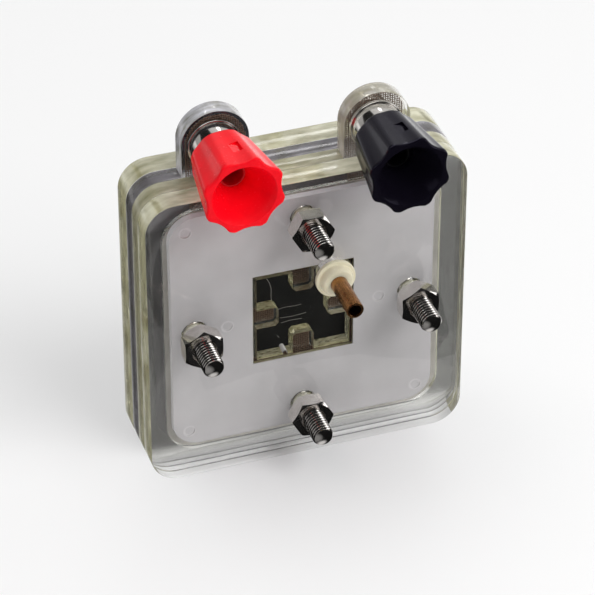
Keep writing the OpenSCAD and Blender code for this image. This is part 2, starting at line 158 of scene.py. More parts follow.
class InletSizes(bpy.types.PropertyGroup):
    """Sizes of the gas tubes and their grommets"""

    flange_thickness: size("Flange", "Thickness of the grommet's flange", 0.9)
    dome_diameter: size("Dome", "Diameter of the grommet's dome at its flange", 6.2)
    nose_diameter: size("Nose", "Diameter of the grommet's nose round the tube", 4.2)
    nose_height: size("Nose height", "Height of the nose above the cover", 2.4)
    tube_diameter: size("Tube", "Outer diameter of a tube", 3.2)
    tube_bore: size("Bore", "Inner diameter of a tube", 2.3)
    root_diameter: size("Root", "Diameter of a tube inside its grommet", 2.8)
    grommet_ease: size("Grommet edge", "Rounding of the grommets' edges", 0.22)
    tube_ease: size("Tube edge", "Rounding of the tubes' edges", 0.12)


class PostSizes(bpy.types.PropertyGroup):
    """Sizes of the binding posts"""

    collar_diameter: size("Collar", "Diameter of the plated collar", 9.2)
    collar_length: size("Collar length", "Length of the plated collar", 3.8)
    stem_diameter: size("Stem", "Diameter of the stem's thread", 6)
    stem_pitch: size("Stem pitch", "Pitch of the stem's thread", 1)
    stem_depth: size("Stem thread depth", "Depth of the stem's thread", 0.4)
    stud_core: size("Stud core", "Diameter of the rear stud inside its thread", 3.2)
    socket_diameter: size("Socket", "Diameter of the plug socket", 4)
    socket_depth: size("Socket depth", "Depth of the plug socket", 9)
    stem_ease: size("Stem edge", "Rounding of the stem's edges", 0.16)
    washer_ease: size("Washer edge", "Rounding of the plated washer's edges", 0.2)


class KnobSizes(bpy.types.PropertyGroup):
    """Sizes of the fluted knobs"""

    back_diameter: size("Back", "Diameter over the lobes at the back end", 11.8)
    front_diameter: size("Front", "Diameter over the lobes at the front rim", 15.1)
    back_round: size("Back edge", "Rounding of the back edge", 1.2)
    rim: size("Rim", "Rounding of the front rim", 0.4)
    turn: angle("Turn", "How far the upper flute leans to the left", 5)
    flutes: IntProperty(name="Flutes", description="Number of flutes round the knob", default=8)
    flute_radius: size("Flute radius", "Radius of a flute", 6)
    flute_back: size("Back flute", "Depth of the flutes at the back end", 0.35)
    flute_front: size("Front flute", "Depth of the flutes at the front rim", 0.8)
    lobe_ease: size("Lobe edge", "Rounding where a flute meets a lobe", 0.3)
    cup_diameter: size("Cup", "Diameter of the cup at the front", 11.5)
    cup_depth: size("Cup depth", "Depth of the cup", 6.4)
    throat: size("Throat", "Diameter between the cup and the socket", 4.6)
    seat: size("Insert seat", "Diameter of the seat of the threaded insert", 7.9)
    passage: size("Passage", "Diameter of the stem's passage at the back", 6.2)
    gate_width: size("Gate width", "Width of the gate mark on the upper flute", 1.7)
    gate_length: size("Gate length", "Length of the gate mark", 3.2)
    gate_depth: size("Gate depth", "Depth of the gate mark", 0.07)
    gate_at: size("Gate place", "Distance of the gate mark from the back end", 5.6)
    gate_turn: angle("Gate turn", "Angle between the gate mark and its flute", 8)


class MeshSizes(bpy.types.PropertyGroup):
    """Sizes of the woven collectors"""

    pitch: size("Wire pitch", "Distance between neighbouring wires", 0.42)
    wire: size("Wire", "Diameter of a wire", 0.19)


class Colours(bpy.types.PropertyGroup):
    """Colours of the finishes"""

    clear: colour("Clear plastic", "Tint through the clear plates", (0.985, 0.985, 0.955))
    # Painted light: the clear faces are tinted this pale colour at their foot, top and right, as if lit
    # there
    clear_rim_light: colour("Clear rims", "Pale tint at the clear faces' rims", (0.99, 0.99, 0.99))
    clear_edge: colour("Clear edges", "Tint of the clear plates' cut edges", (0.72, 0.7, 0.5))
    wall: colour("Inner walls", "Tint of the walls of windows and bolt holes", (0.6, 0.58, 0.38))
    # Painted light: the lower edges are nearly white, as if lit from the floor
    foot: colour("Foot", "Tint of the plates' lower edges", (0.98, 0.98, 0.97))
    milled: colour("Milled pocket", "Frosted floor of the clear frame's pocket", (0.72, 0.69, 0.63))
    clear_ear: colour("Clear ear", "Tint of the clear ear's rim", (0.6, 0.58, 0.53))
    smoke: colour("Smoke plastic", "Tint through the smoke plate", (0.03, 0.03, 0.034))
    # Painted light: the smoke faces are tinted this pale grey at their foot, top and right, as if lit there
    smoke_rim_light: colour("Smoke rims", "Pale tint at the smoke faces' rims", (0.7, 0.7, 0.7))
    smoke_edge: colour("Smoke edges", "Tint of the smoke plate's cut edges", (0.285, 0.275, 0.312))
    # Painted light: the smoke ear's rim is tinted far paler than the smoke edges, as if lit from above
    smoke_ear: colour("Smoke ear", "Tint of the smoke ear's rim", (0.6, 0.6, 0.65))
    rubber: colour("Grey rubber", "The gaskets", (0.5, 0.485, 0.505))
    carbon: colour("Carbon", "The electrodes' cloth", (0.006, 0.006, 0.006))
    thread: colour("Threads", "Loose threads on the front electrode", (0.32, 0.31, 0.28))
    membrane: colour("Membrane", "The membrane's film", (0.55, 0.5, 0.38))
    mesh: colour("Mesh", "The collectors' wires", (0.21, 0.14, 0.1))
    steel: colour("Steel", "Bolts, nuts and washers", (0.8, 0.765, 0.735))
    nickel: colour("Nickel", "Plated posts", (0.76, 0.73, 0.69))
    # Painted shade and painted reflection: the red socket is dark red, as if in shade and mirroring the red
    # knob
    red_socket: colour("Red socket", "Lining of the red post's socket", (0.5, 0.002, 0.008))
    # Painted shade: the black socket is near black, as if deep in shade
    black_socket: colour("Black socket", "Lining of the black post's socket", (0.004, 0.0035, 0.005))
    ivory: colour("Ivory rubber", "The grommets", (0.8, 0.74, 0.55))
    copper: colour("Copper", "The gas tubes", (0.43, 0.205, 0.078))
    red: colour("Red", "The red knob", (0.93, 0.003, 0.012))
    black: colour("Black", "The black knob", (0.004, 0.0032, 0.0065))
    brass: colour("Brass", "The knobs' threaded inserts", (0.6, 0.44, 0.18))
    floor: colour("Floor", "The studio floor", (0.9, 0.9, 0.9))


class StageSizes(bpy.types.PropertyGroup):
    """Camera and lamps"""

    lens: FloatProperty(name="Lens", description="Focal length in millimetres", default=211.4)
    distance: size("Distance", "Distance of the camera from the point it aims at", 624)
    azimuth: angle("Azimuth", "Turn of the camera to the right", -19.08)
    elevation: angle("Elevation", "Height of the camera as an angle", 35.85)
    aim: FloatVectorProperty(
        name="Aim", description="Point in the middle of the picture",
        default=(-0.0020, -0.00825, 0.03525), subtype="TRANSLATION", size=3,
    )
    dome: FloatProperty(name="Dome", description="Strength of the surrounding light", default=0.7)
    key: FloatProperty(name="Key", description="Power of the key lamp", default=3.9, unit="POWER")
    top: FloatProperty(name="Top", description="Power of the overhead lamp", default=2.0, unit="POWER")


class FuelCellSettings(bpy.types.PropertyGroup):
    """All sizes and colours of the fuel cell"""

    plates: PointerProperty(type=PlateSizes)
    fasteners: PointerProperty(type=FastenerSizes)
    inlets: PointerProperty(type=InletSizes)
    posts: PointerProperty(type=PostSizes)
    knobs: PointerProperty(type=KnobSizes)
    meshes: PointerProperty(type=MeshSizes)
    colours: PointerProperty(type=Colours)
    stage: PointerProperty(type=StageSizes)


# Nodes


class NodeKit:
    """Adds and links the nodes of one tree."""

    def __init__(self, tree):
        self.tree = tree

    def add(self, kind, inputs=None, **settings):
        """Adds a node. An input may be a value, a socket or another node's first output."""
        node = self.tree.nodes.new(kind)
        for key, value in settings.items():
            setattr(node, key, value)
        for key, value in (inputs or {}).items():
            self.feed(node.inputs[key], value)
        return node

    def feed(self, socket, value):
        if isinstance(value, bpy.types.Node):
            value = value.outputs[0]
        if isinstance(value, bpy.types.NodeSocket):
            self.tree.links.new(value, socket)
        else:
            socket.default_value = value

    def math(self, operation, *values):
        return self.add("ShaderNodeMath", dict(enumerate(values)), operation=operation)

    def times(self, one, two):
        return self.math("MULTIPLY", one, two)

    def apart(self, one, two):
        """The distance between two numbers."""
        return self.math("ABSOLUTE", self.math("SUBTRACT", one, two))

    def ramp(self, value, start, end, low=0.0, high=1.0):
        """Goes from low to high as the value goes from start to end."""
        return self.add(
            "ShaderNodeMapRange",
            {"Value": value, "From Min": start, "From Max": end, "To Min": low, "To Max": high},
        )

    def split(self, vector):
        """The x, y and z of a vector."""
        return self.add("ShaderNodeSeparateXYZ", {0: vector}).outputs

    def vector(self, x=0.0, y=0.0, z=0.0):
        return self.add("ShaderNodeCombineXYZ", {0: x, 1: y, 2: z})


class Finish(NodeKit):
    """A material with one Principled shader, fed by patterns on Object coordinates."""

    def __init__(self, name, **sockets):
        self.material = bpy.data.materials.new(name)
        self.material.use_nodes = True
        super().__init__(self.material.node_tree)
        self.shader = self.tree.nodes["Principled BSDF"]
        for key, value in sockets.items():
            self.shader.inputs[key.replace("_", " ")].default_value = value
        self.place = self.add("ShaderNodeTexCoord").outputs["Object"]

    def noise(self, grain, detail=3, stretch=(1, 1, 1)):
        """Noise with features of about grain metres, drawn out along the axes that stretch."""
        scale = [1 / (grain * s) for s in stretch]
        mapping = self.add("ShaderNodeMapping", {"Vector": self.place, "Scale": scale})
        return self.add("ShaderNodeTexNoise", {"Vector": mapping, "Scale": 1.0, "Detail": detail})

    def spread(self, pattern, low=0.0, high=1.0):
        """Spreads a pattern's middle range from low to high."""
        return self.ramp(pattern, 0.3, 0.7, low, high)

    def tint(self, factor, one, two):
        """Colours the surface between two colours."""
        mix = self.add("ShaderNodeMix", {0: factor, 6: (*one, 1), 7: (*two, 1)}, data_type="RGBA")
        self.feed(self.shader.inputs["Base Color"], mix.outputs[2])

    def shade(self, factor, tint, low, high):
        """Colours the surface between low and high times a tint."""
        self.tint(factor, *([min(1, c * share) for c in tint] for share in (low, high)))

    def rough(self, pattern, low, high):
        self.feed(self.shader.inputs["Roughness"], self.spread(pattern, low, high))

    def bump(self, height, depth):
        """Raises the surface by a pattern, depth metres at most."""
        bump = self.add("ShaderNodeBump", {"Height": height, "Distance": depth, "Strength": 1.0})
        self.feed(self.shader.inputs["Normal"], bump)


class Recipe(NodeKit):
    """A Geometry Nodes tree with named inputs, one of them its Finish."""

    def __init__(self, name, **inputs):
        tree = bpy.data.node_groups.new(name, "GeometryNodeTree")
        super().__init__(tree)
        tree.interface.new_socket("Geometry", in_out="OUTPUT", socket_type="NodeSocketGeometry")
        self.ids = {}
        for key, kind in {**inputs, "Finish": "Material"}.items():
            socket = tree.interface.new_socket(key, in_out="INPUT", socket_type="NodeSocket" + kind)
            self.ids[key] = socket.identifier
        self.entry = tree.nodes.new("NodeGroupInput")

    def value(self, key):
        return self.entry.outputs[key]

    def shape(self, key):
        """The geometry of an object that is an input."""
        source = {"Object": self.value(key)}
        return self.add("GeometryNodeObjectInfo", source, transform_space="ORIGINAL").outputs["Geometry"]

    def place(self):
        """The x, y and z of the points."""
        return self.split(self.add("GeometryNodeInputPosition"))

    def finish(self, geometry):
        """Ends the tree with real geometry in its finish."""
        real = self.add("GeometryNodeRealizeInstances", {"Geometry": geometry})
        painted = self.add("GeometryNodeSetMaterial", {"Geometry": real, "Material": self.value("Finish")})
        end = self.tree.nodes.new("NodeGroupOutput")
        self.feed(end.inputs[0], painted)

    def grow(self, name, **values):
        """Evaluates the tree with these inputs and gives the result as a plain mesh."""
        carrier = linked(name, bpy.data.meshes.new(name))
        modifier = carrier.modifiers.new(name, "NODES")
        modifier.node_group = self.tree
        for key, value in values.items():
            modifier[self.ids[key]] = value
        mesh = settled(carrier)
        mesh.name = name
        if not mesh.polygons:
            raise RuntimeError(f"nothing was made for {name}")
        # The tree leaves an empty slot before its finish
        dress(mesh, values["Finish"])
        return mesh


# Meshes


def linked(name, data):
    """A new object in the scene."""
    thing = bpy.data.objects.new(name, data)
    bpy.context.scene.collection.objects.link(thing)
    return thing


def discard(carrier):
    mesh = carrier.data
    bpy.data.objects.remove(carrier)
    bpy.data.meshes.remove(mesh)


def settled(carrier):
    """The object's evaluated mesh. The object itself is removed."""
    depsgraph = bpy.context.evaluated_depsgraph_get()
    depsgraph.update()
    mesh = bpy.data.meshes.new_from_object(carrier.evaluated_get(depsgraph), depsgraph=depsgraph)
    discard(carrier)
    return mesh


def soften(mesh, degrees=32):
    """Smooth shading that keeps edges sharper than the angle."""
    mesh.shade_smooth()
    mesh.set_sharp_from_angle(angle=math.radians(degrees))
    return mesh


def as_mesh(shape, name):
    """Turns a bmesh into a mesh."""
    mesh = bpy.data.meshes.new(name)
    shape.to_mesh(mesh)
    shape.free()
    return mesh


def finished(shape, name):
    """Turns a bmesh into a welded mesh with its faces outwards."""
    bmesh.ops.remove_doubles(shape, verts=shape.verts, dist=WELD)
    bmesh.ops.recalc_face_normals(shape, faces=shape.faces)
    return soften(as_mesh(shape, name))


def lofted(name, rings, closed=False):
    """Joins rings of equal counts, and either caps the ends or joins the last ring to the first."""
    shape = bmesh.new()
    rows = [[shape.verts.new(point) for point in ring] for ring in rings]
    count = len(rows[0])
    pairs = list(zip(rows, rows[1:]))
    if closed:
        pairs.append((rows[-1], rows[0]))
    else:
        shape.faces.new(rows[0])
        shape.faces.new(rows[-1])
    for one, two in pairs:
        for i in range(count):
            j = (i + 1) % count
            shape.faces.new((one[i], one[j], two[j], two[i]))
    return finished(shape, name)


def eased(profile, reach, steps=4):
    """A closed profile with its corners rounded, by less than half of the shorter side."""
    points = [Vector(p) for p in profile]
    most = 0.45
    result = []
    for i, corner in enumerate(points):
        back, on = points[i - 1] - corner, points[(i + 1) % len(points)] - corner
        cut = min(reach, back.length * most, on.length * most)
        start, end = corner + back.normalized() * cut, corner + on.normalized() * cut
        for k in range(steps + 1):
            t = k / steps
            result.append(start * (1 - t) ** 2 + corner * 2 * t * (1 - t) + end * t * t)
    return result


def angles(count):
    return [TURN * i / count for i in range(count)]


def ring(spot, radii, depths):
    """Points round an axis along Y, each with its own radius and depth."""
    return [
        (spot[0] + r * math.cos(a), y, spot[1] + r * math.sin(a))
        for a, r, y in zip(angles(len(radii)), radii, depths)
    ]


def circle(spot, radius, depth, columns):
    return ring(spot, [radius] * columns, [depth] * columns)


def turned(name, spot, profile, columns=64, closed=True):
    """A piece turned about an axis along Y. The profile's points are (radius, y)."""
    return lofted(name, [circle(spot, r, y, columns) for r, y in profile], closed)


def hexagon(way, flats):
    """Distance from a hexagon's middle to its side, with a corner at the top."""
    return flats / 2 / math.cos((way + TURN / 12) % (TURN / 6) - TURN / 12)


def hex_piece(name, spot, seat, face, flats, bore, both_ends, turn=0.0):
    """A nut or a bolt head along Y, with its corners turned down at its face."""
    columns = 96
    # The corners are rounded at one radius and turned down outside another
    corner, flat_circle = flats * 0.57, flats * 0.485
    side = [min(hexagon(a + turn, flats), corner) for a in angles(columns)]
    way = 1 if face > seat else -1
    drop = [(r - flat_circle) * math.tan(math.radians(30)) * way for r in side]
    lead = 0.3 * MM
    low = [seat + d for d in drop] if both_ends else [seat] * columns
    rings = [
        circle(spot, bore, seat, columns),
        circle(spot, flat_circle * 0.98, seat, columns),
        ring(spot, side, low),
        ring(spot, side, [face - d for d in drop]),
        circle(spot, flat_circle, face, columns),
        circle(spot, bore + lead, face, columns),
        circle(spot, bore, face - lead * way, columns),
    ]
    return soften(lofted(name, rings, closed=True), 20)


def merged(name, *meshes):
    """One mesh of several, which are removed."""
    shape = bmesh.new()
    for mesh in meshes:
        shape.from_mesh(mesh)
        bpy.data.meshes.remove(mesh)
    return as_mesh(shape, name)


def carved(base, *cutters, joined=()):
    """Cuts meshes out of a base mesh, then joins others to it."""
    name = base.name
    work = linked(name, base)
    tools = []
    steps = [("DIFFERENCE", mesh) for mesh in cutters] + [("UNION", mesh) for mesh in joined]
    for operation, mesh in steps:
        tools.append(linked(mesh.name, mesh))
        modifier = work.modifiers.new("carve", "BOOLEAN")
        modifier.operation = operation
        modifier.solver = "EXACT"
        modifier.object = tools[-1]
    mesh = settled(work)
    for tool in tools:
        discard(tool)
    shape = bmesh.new()
    shape.from_mesh(mesh)
    bpy.data.meshes.remove(mesh)
    bmesh.ops.dissolve_degenerate(shape, dist=WELD, edges=shape.edges)
    return finished(shape, name)


def rounded_square(width, radius, middle, steps=14):
    """An outline of (x, z) points, anticlockwise from the lower right corner."""
    reach = width / 2 - radius
    points = []
    for corner, (sx, sz) in enumerate(((1, -1), (1, 1), (-1, 1), (-1, -1))):
        for k in range(steps + 1):
            a = TURN / 4 * (corner - 1 + k / steps)
            points.append((sx * reach + radius * math.cos(a), middle + sz * reach + radius * math.sin(a)))
    return points


def arch(spot, width, foot, steps=24):
    """A round-topped outline of (x, z) points about a spot, from its right foot to its left."""
    half = width / 2
    points = [(spot[0] + half, foot)]
    for k in range(steps + 1):
        a = TURN / 2 * k / steps
        points.append((spot[0] + half * math.cos(a), spot[1] + half * math.sin(a)))
    return points + [(spot[0] - half, foot)]


def with_ear(outline, spot, width, shoulder):
    """The outline with a round-topped ear on its upper side."""
    turn = next(i for i, (x, z) in enumerate(outline) if z > shoulder - WELD * 10 and x < spot[0])
    return outline[:turn] + arch(spot, width, shoulder) + outline[turn:]


def inset(outline, reach):
    """The outline moved inwards."""
    points = [Vector(p) for p in outline]
    result = []
    for i, here in enumerate(points):
        back = (here - points[i - 1]).normalized()
        on = (points[(i + 1) % len(points)] - here).normalized()
        one, two = Vector((-back.y, back.x)), Vector((-on.y, on.x))
        result.append(here + (one + two) * reach / (1 + one.dot(two)))
    return result


def slab(name, outline, front, back, front_ease=0.0, back_ease=0.0):
    """An outline given thickness along Y, with rounded edges."""
    fronts, backs = [(0, front)], [(0, back)]
    turns = [TURN / 4 * k / 3 for k in range(4)]
    if front_ease:
        fronts = [(front_ease * (1 - math.sin(t)), front + front_ease * (1 - math.cos(t))) for t in turns]
    if back_ease:
        backs = [(back_ease * (1 - math.cos(t)), back - back_ease * (1 - math.sin(t))) for t in turns]
    return lofted(name, [[(p[0], y, p[1]) for p in inset(outline, reach)] for reach, y in fronts + backs])


def box_mesh(name, low, high):
    """A block with straight sides."""
    outline = [(high[0], low[2]), (high[0], high[2]), (low[0], high[2]), (low[0], low[2])]
    return slab(name, outline, low[1], high[1])


def rod(spot, front, back, diameter, columns=64):
    return turned("rod", spot, [(diameter / 2, front), (diameter / 2, back)], columns, closed=False)


def tube_profile(inner, outer, front, back):
    """The profile of a plain ring or tube."""
    return [(inner, front), (outer, front), (outer, back), (inner, back)]


def axis_of(node):
    """Where a turned node's axis stands in the front view, as (x, z)."""
    low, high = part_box(node)
    return (low.x + high.x) / 2, (low.z + high.z) / 2


def radius_of(node):
    low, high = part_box(node)
    return (high.x - low.x) / 2


def depth_of(node):
    """The node's front and back, along Y."""
    low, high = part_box(node)
    return low.y, high.y


def set_out(node, kind, mesh, body=CELL, finish=None):
    """Puts a finished mesh in the place of a CAD node."""
    name = f"{node}_{kind}"
    mesh.name = name
    piece = linked(name, mesh)
    if finish:
        dress(mesh, finish)
    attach(piece, body)
    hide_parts(node)
    return piece


def dress(mesh, finish):
    """Gives a whole mesh one finish."""
    mesh.materials.clear()
    mesh.materials.append(finish)


def paint(finish, *nodes):
    """Gives CAD nodes a finish."""
    for node in nodes:
        dress(frame["nodes"][node].data, finish)


# Finishes


def plate_face(name, tint, rim):
    """Polished plastic with faint rubbing marks, and painted light that makes it as pale as rim at its foot
    and less pale at its top and right.
    """
    finish = Finish(name, IOR=PLASTIC_IOR, Transmission_Weight=1.0)
    x, _, z = finish.split(finish.place)
    cloud = finish.times(finish.noise(9 * MM, detail=2), 1.5 * MM)
    height = finish.math("ADD", z, cloud)
    # Painted light: foot, top and right mask where the face is tinted towards rim, the pale colour of light
    foot = finish.ramp(height, 3.5 * MM, 5.5 * MM, 1, 0)
    below_ear = finish.ramp(z, 60 * MM, 61 * MM, 1, 0)
    top = finish.times(finish.ramp(height, 52 * MM, 56 * MM, 0, 0.62), below_ear)
    right = finish.ramp(finish.math("ADD", x, cloud), 23 * MM, 27 * MM, 0, 0.22)
    finish.tint(finish.math("MAXIMUM", foot, finish.math("MAXIMUM", top, right)), tint, rim)
    finish.rough(finish.noise(0.5 * MM, detail=4, stretch=(1, 1, 9)), 0.0, 0.035)
    return finish.material


def plate_edge(name, tint, clearness, grain=5 * MM, low=0.8, high=1.18, left=1.0):
    """A sawn and polished edge, a little cloudy and wavy, with marks along the cut, and painted shade that
    makes it darker at the left.
    """
    finish = Finish(name, IOR=PLASTIC_IOR, Transmission_Weight=clearness)
    cloud = finish.spread(finish.noise(grain, stretch=(1, 0.35, 1)))
    # Painted shade: a left below 1 darkens the edge towards the left side, as if less light fell there
    left_shade = finish.ramp(finish.split(finish.place)[0], -30 * MM, -22 * MM, left, 1)
    # This dark tone serves both the random clouding and the painted shade at the left
    shadow = [c * low * share for c, share in zip(tint, (1, 0.98, 0.78))]
    finish.tint(finish.times(cloud, left_shade), shadow, [min(1, c * high) for c in tint])
    marks = finish.noise(0.3 * MM, detail=4, stretch=(1, 14, 1))
    finish.rough(marks, 0.05, 0.16)
    wave = finish.times(finish.noise(3 * MM, detail=1), 6.0)
    finish.bump(finish.math("ADD", marks, wave), 0.004 * MM)
    return finish.material


def plate_foot(name, tint, joints):
    """A lower edge painted nearly white to stand in for light, with a thin dark line along each joint
    between plates.
    """
    finish = Finish(name, IOR=PLASTIC_IOR, Transmission_Weight=0.1)
    depth = finish.split(finish.place)[1]
    cloud = finish.noise(3 * MM, stretch=(1, 0.35, 1))
    share = finish.spread(cloud, 0.92, 1)
    for joint in joints:
        share = finish.times(share, finish.ramp(finish.apart(depth, joint), 0.12 * MM, 0.5 * MM))
    finish.shade(share, tint, 0.16, 1)
    finish.rough(cloud, 0.05, 0.16)
    return finish.material


def milled(name, tint, clearness, rough=(0.28, 0.45)):
    """A milled floor in clear plastic, frosted by the cutter."""
    finish = Finish(name, IOR=PLASTIC_IOR, Transmission_Weight=clearness)
    finish.shade(finish.spread(finish.noise(4 * MM)), tint, 0.8, 1.1)
    swirl = finish.noise(0.35 * MM)
    finish.rough(swirl, *rough)
    finish.bump(swirl, 0.006 * MM)
    return finish.material


def rubber_sheet(tint, corner, side, middle, radius):
    """Matte moulded sheet with a fine grain, slight clouding and paler rims round its marks."""
    finish = Finish("grey_rubber_sheet", Roughness=0.6)
    x, _, z = finish.split(finish.place)
    spot = finish.vector(finish.math("ABSOLUTE", x), 0.0, finish.apart(z, middle))
    off = [
        finish.add("ShaderNodeVectorMath", {0: spot, 1: (u, 0, v)}, operation="DISTANCE").outputs["Value"]
        for u, v in ((corner, corner), (side, 0))
    ]
    from_rim = finish.apart(finish.math("MINIMUM", *off), radius)
    cloud = finish.spread(finish.noise(7 * MM, detail=4), 0, 0.6)
    rims = finish.ramp(from_rim, 0.08 * MM, 0.3 * MM, 1.6, 0)
    finish.shade(finish.math("MAXIMUM", cloud, rims), tint, 0.93, 1.16)
    grain = finish.noise(0.12 * MM)
    finish.rough(grain, 0.5, 0.7)
    finish.bump(grain, 0.012 * MM)
    return finish.material


def carbon_cloth(tint):
    """Deep black cloth with threads that run from side to side."""
    finish = Finish("carbon_cloth", Specular_IOR_Level=0.15)
    threads = finish.noise(0.22 * MM, stretch=(9, 1, 1))
    finish.shade(finish.spread(threads), tint, 0.6, 2.2)
    finish.rough(threads, 0.5, 0.75)
    finish.bump(threads, 0.02 * MM)
    return finish.material


def film(name, tint):
    """A smooth film or fibre, a little cloudy."""
    finish = Finish(name, Roughness=0.4)
    cloud = finish.noise(3 * MM)
    finish.shade(finish.spread(cloud), tint, 0.9, 1.08)
    finish.rough(cloud, 0.32, 0.5)
    return finish.material


def metal(name, tint, rough, grain, depth=0.0, stretch=(1, 1, 1), metallic=1.0):
    """Bare or plated metal with drawn or turned marks between two roughnesses."""
    finish = Finish(name, Metallic=metallic)
    finish.shade(finish.spread(finish.noise(2.5 * MM)), tint, 0.86, 1.08)
    marks = finish.noise(grain, detail=4, stretch=stretch)
    finish.rough(marks, *rough)
    if depth:
        finish.bump(marks, depth)
    return finish.material


def moulded(name, tint, rough, grain, depth, **sockets):
    """Moulded plastic or rubber: flow marks under a fine skin between two roughnesses."""
    finish = Finish(name, **sockets)
    finish.shade(finish.spread(finish.noise(4 * MM)), tint, 0.9, 1.08)
    skin = finish.noise(grain)
    finish.rough(skin, *rough)
    finish.bump(skin, depth)
    return finish.material


# Pieces


class FUELCELL_OT_plates(bpy.types.Operator):
    """Build the two covers and the two frames with their ears, windows and holes"""

    bl_idname = "fuel_cell.plates"
    bl_label = "Plates"

    def execute(self, context):
        settings = context.scene.fuel_cell
        sizes, colours = settings.plates, settings.colours
        self.sizes = sizes
        self.middle = axis_of("front_cover")[1]
        reach = settings.fasteners.bolt_circle / 2
        self.bolt_spots = [(reach * math.cos(a), self.middle + reach * math.sin(a)) for a in angles(4)]
        peg_rise = sizes.peg_diameter / 2 - sizes.peg_bite
        self.peg_spot = (-sizes.peg_offset, self.middle - sizes.window / 2 + peg_rise)
        joints = depth_of("front_frame") + depth_of("rear_frame")[1:]
        # Painted light: the plates' lower edges and the peg are painted nearly white, as if lit
        foot = plate_foot("plastic_foot", colours.foot, joints)
        wall = plate_edge("plastic_wall", colours.wall, clearness=0.6, grain=1.2 * MM, low=0.55, high=1.6)
        clear = (
            plate_face("clear_face", colours.clear, colours.clear_rim_light),
            # left=0.7 paints shade on the left edges
            plate_edge("clear_edge", colours.clear_edge, clearness=0.5, low=0.55, high=1.16, left=0.7),
            wall,
            foot,
            plate_edge("clear_ear", colours.clear_ear, clearness=0.5),
            milled("milled_clear", colours.milled, clearness=0.6),
            milled("milled_seat", colours.milled, clearness=0.92, rough=(0.06, 0.14)),
        )
        smoke = (
            plate_face("smoke_face", colours.smoke, colours.smoke_rim_light),
            # left=0.7 paints shade on the left edges
            plate_edge("smoke_edge", colours.smoke_edge, clearness=0.5, low=0.55, left=0.7),
            wall,
            foot,
            # Painted light: a paler, lit copy of the smoke edge for the ear's rim
            plate_edge("smoke_ear", colours.smoke_ear, clearness=0.4, grain=3 * MM, low=0.6, high=1.5),
            milled("milled_smoke", colours.smoke_edge, clearness=0.6),
        )
        self.cover("front_cover", "hydrogen_tube", True, clear)
        self.cover("back_cover", "oxygen_tube", False, clear)
        self.frame_plate("front_frame", "black_washer", True, clear, "clear_plastic")
        self.frame_plate("rear_frame", "red_washer", False, smoke, "smoke_plastic")
        return {"FINISHED"}

    def cover(self, name, tube, at_front, finishes):
        """A cover with its bolt holes and the hole of its gas inlet."""
        sizes = self.sizes
        front, back = depth_of(name)
        eases = (sizes.outer_ease, sizes.joint_ease)
        if at_front:
            back -= sizes.air_gap / 2
        else:
            front += sizes.air_gap / 2
            eases = eases[::-1]
        outline = rounded_square(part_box(name)[1].x * 2, sizes.corner_radius, self.middle)
        base = slab(name, outline, front, back, *eases)
        holes = self.holes(front, back, (axis_of(tube), sizes.plug_hole))
        self.place(name, carved(base, holes), "clear_plastic", finishes)

    def frame_plate(self, name, washer, at_front, finishes, slot):
        """A frame with its ear, its window and the pockets on both of its sides."""
        sizes, gap = self.sizes, self.sizes.air_gap
        front, back = (y + side * gap / 2 for y, side in zip(depth_of(name), (1, -1)))
        post, top = axis_of(washer), 2 * self.middle
        ear = (math.copysign(sizes.ear_offset, post[0]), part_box(name)[1].z - sizes.ear_width / 2)
        outline = with_ear(rounded_square(top, sizes.corner_radius, self.middle), ear, sizes.ear_width, top)
        base = slab(name, outline, front, back, sizes.joint_ease, sizes.joint_ease)
        floor = sizes.pocket_depth + gap / 2
        if at_front:
            collector = depth_of("front_collector")[0]
            pocket = (front - OVERCUT, front + floor)
            seat = (collector - gap, back + OVERCUT)
            strip = (depth_of("membrane")[1] - gap, back + OVERCUT)
            peg = (front + gap, collector - 2 * gap)
            floors = (pocket[1], strip[0])
        else:
            collector = depth_of("rear_collector")[1]
            pocket = (back - floor, back + OVERCUT)
            seat = strip = (front - OVERCUT, collector + gap)
            peg = (collector + 2 * gap, back - gap)
            floors = (pocket[0],)
        cutters = (
            self.holes(front, back, (post, sizes.bolt_hole)),
            self.window(front, back),
            self.pocket(*pocket),
            slab("seat", self.square(sizes.seat_width), *seat),
            slab("strip", arch(ear, sizes.strip_width, sizes.strip_foot), *strip),
        )
        peg_rod = rod(self.peg_spot, *peg, sizes.peg_diameter, 32)
        self.place(name, carved(base, *cutters, joined=[peg_rod]), slot, finishes, floors)

    def square(self, width):
        """A sharp square outline about the window's middle."""
        return rounded_square(width, 0.02 * MM, self.middle, 1)

    def holes(self, front, back, *more):
        """A cutter for the bolt holes and any more round holes, as (spot, diameter)."""
        holes = [(spot, self.sizes.bolt_hole) for spot in self.bolt_spots] + list(more)
        return merged("holes", *[rod(s, front - OVERCUT, back + OVERCUT, d) for s, d in holes])

    def window(self, front, back):
        """A cutter for the square window that leaves its four tabs standing."""
        sizes = self.sizes
        half, side, cut = sizes.window / 2, sizes.tab_width / 2, sizes.tab_chamfer
        tip = half - sizes.tab_length
        tab = [
            (half + OVERCUT, -side), (half + OVERCUT, side), (tip + cut, side),
            (tip, side - cut), (tip, cut - side), (tip + cut, -side),
        ]
        tabs = []
        for turn in range(4):
            spin = Matrix.Rotation(TURN / 4 * turn, 2)
            outline = [spin @ Vector(p) + Vector((0, self.middle)) for p in tab]
            tabs.append(slab("tab", outline, front - 2 * OVERCUT, back + 2 * OVERCUT))
        return carved(slab("window", self.square(sizes.window), front - OVERCUT, back + OVERCUT), *tabs)

    def pocket(self, front, back):
        """A cutter for the gasket's pocket that leaves the lip round the window standing."""
        sizes = self.sizes
        outline = rounded_square(sizes.pocket_width, sizes.pocket_radius, self.middle)
        island = self.square(sizes.window + 2 * sizes.lip)
        standing = slab("standing", island, front - OVERCUT, back + OVERCUT)
        return carved(slab("pocket", outline, front, back), standing)

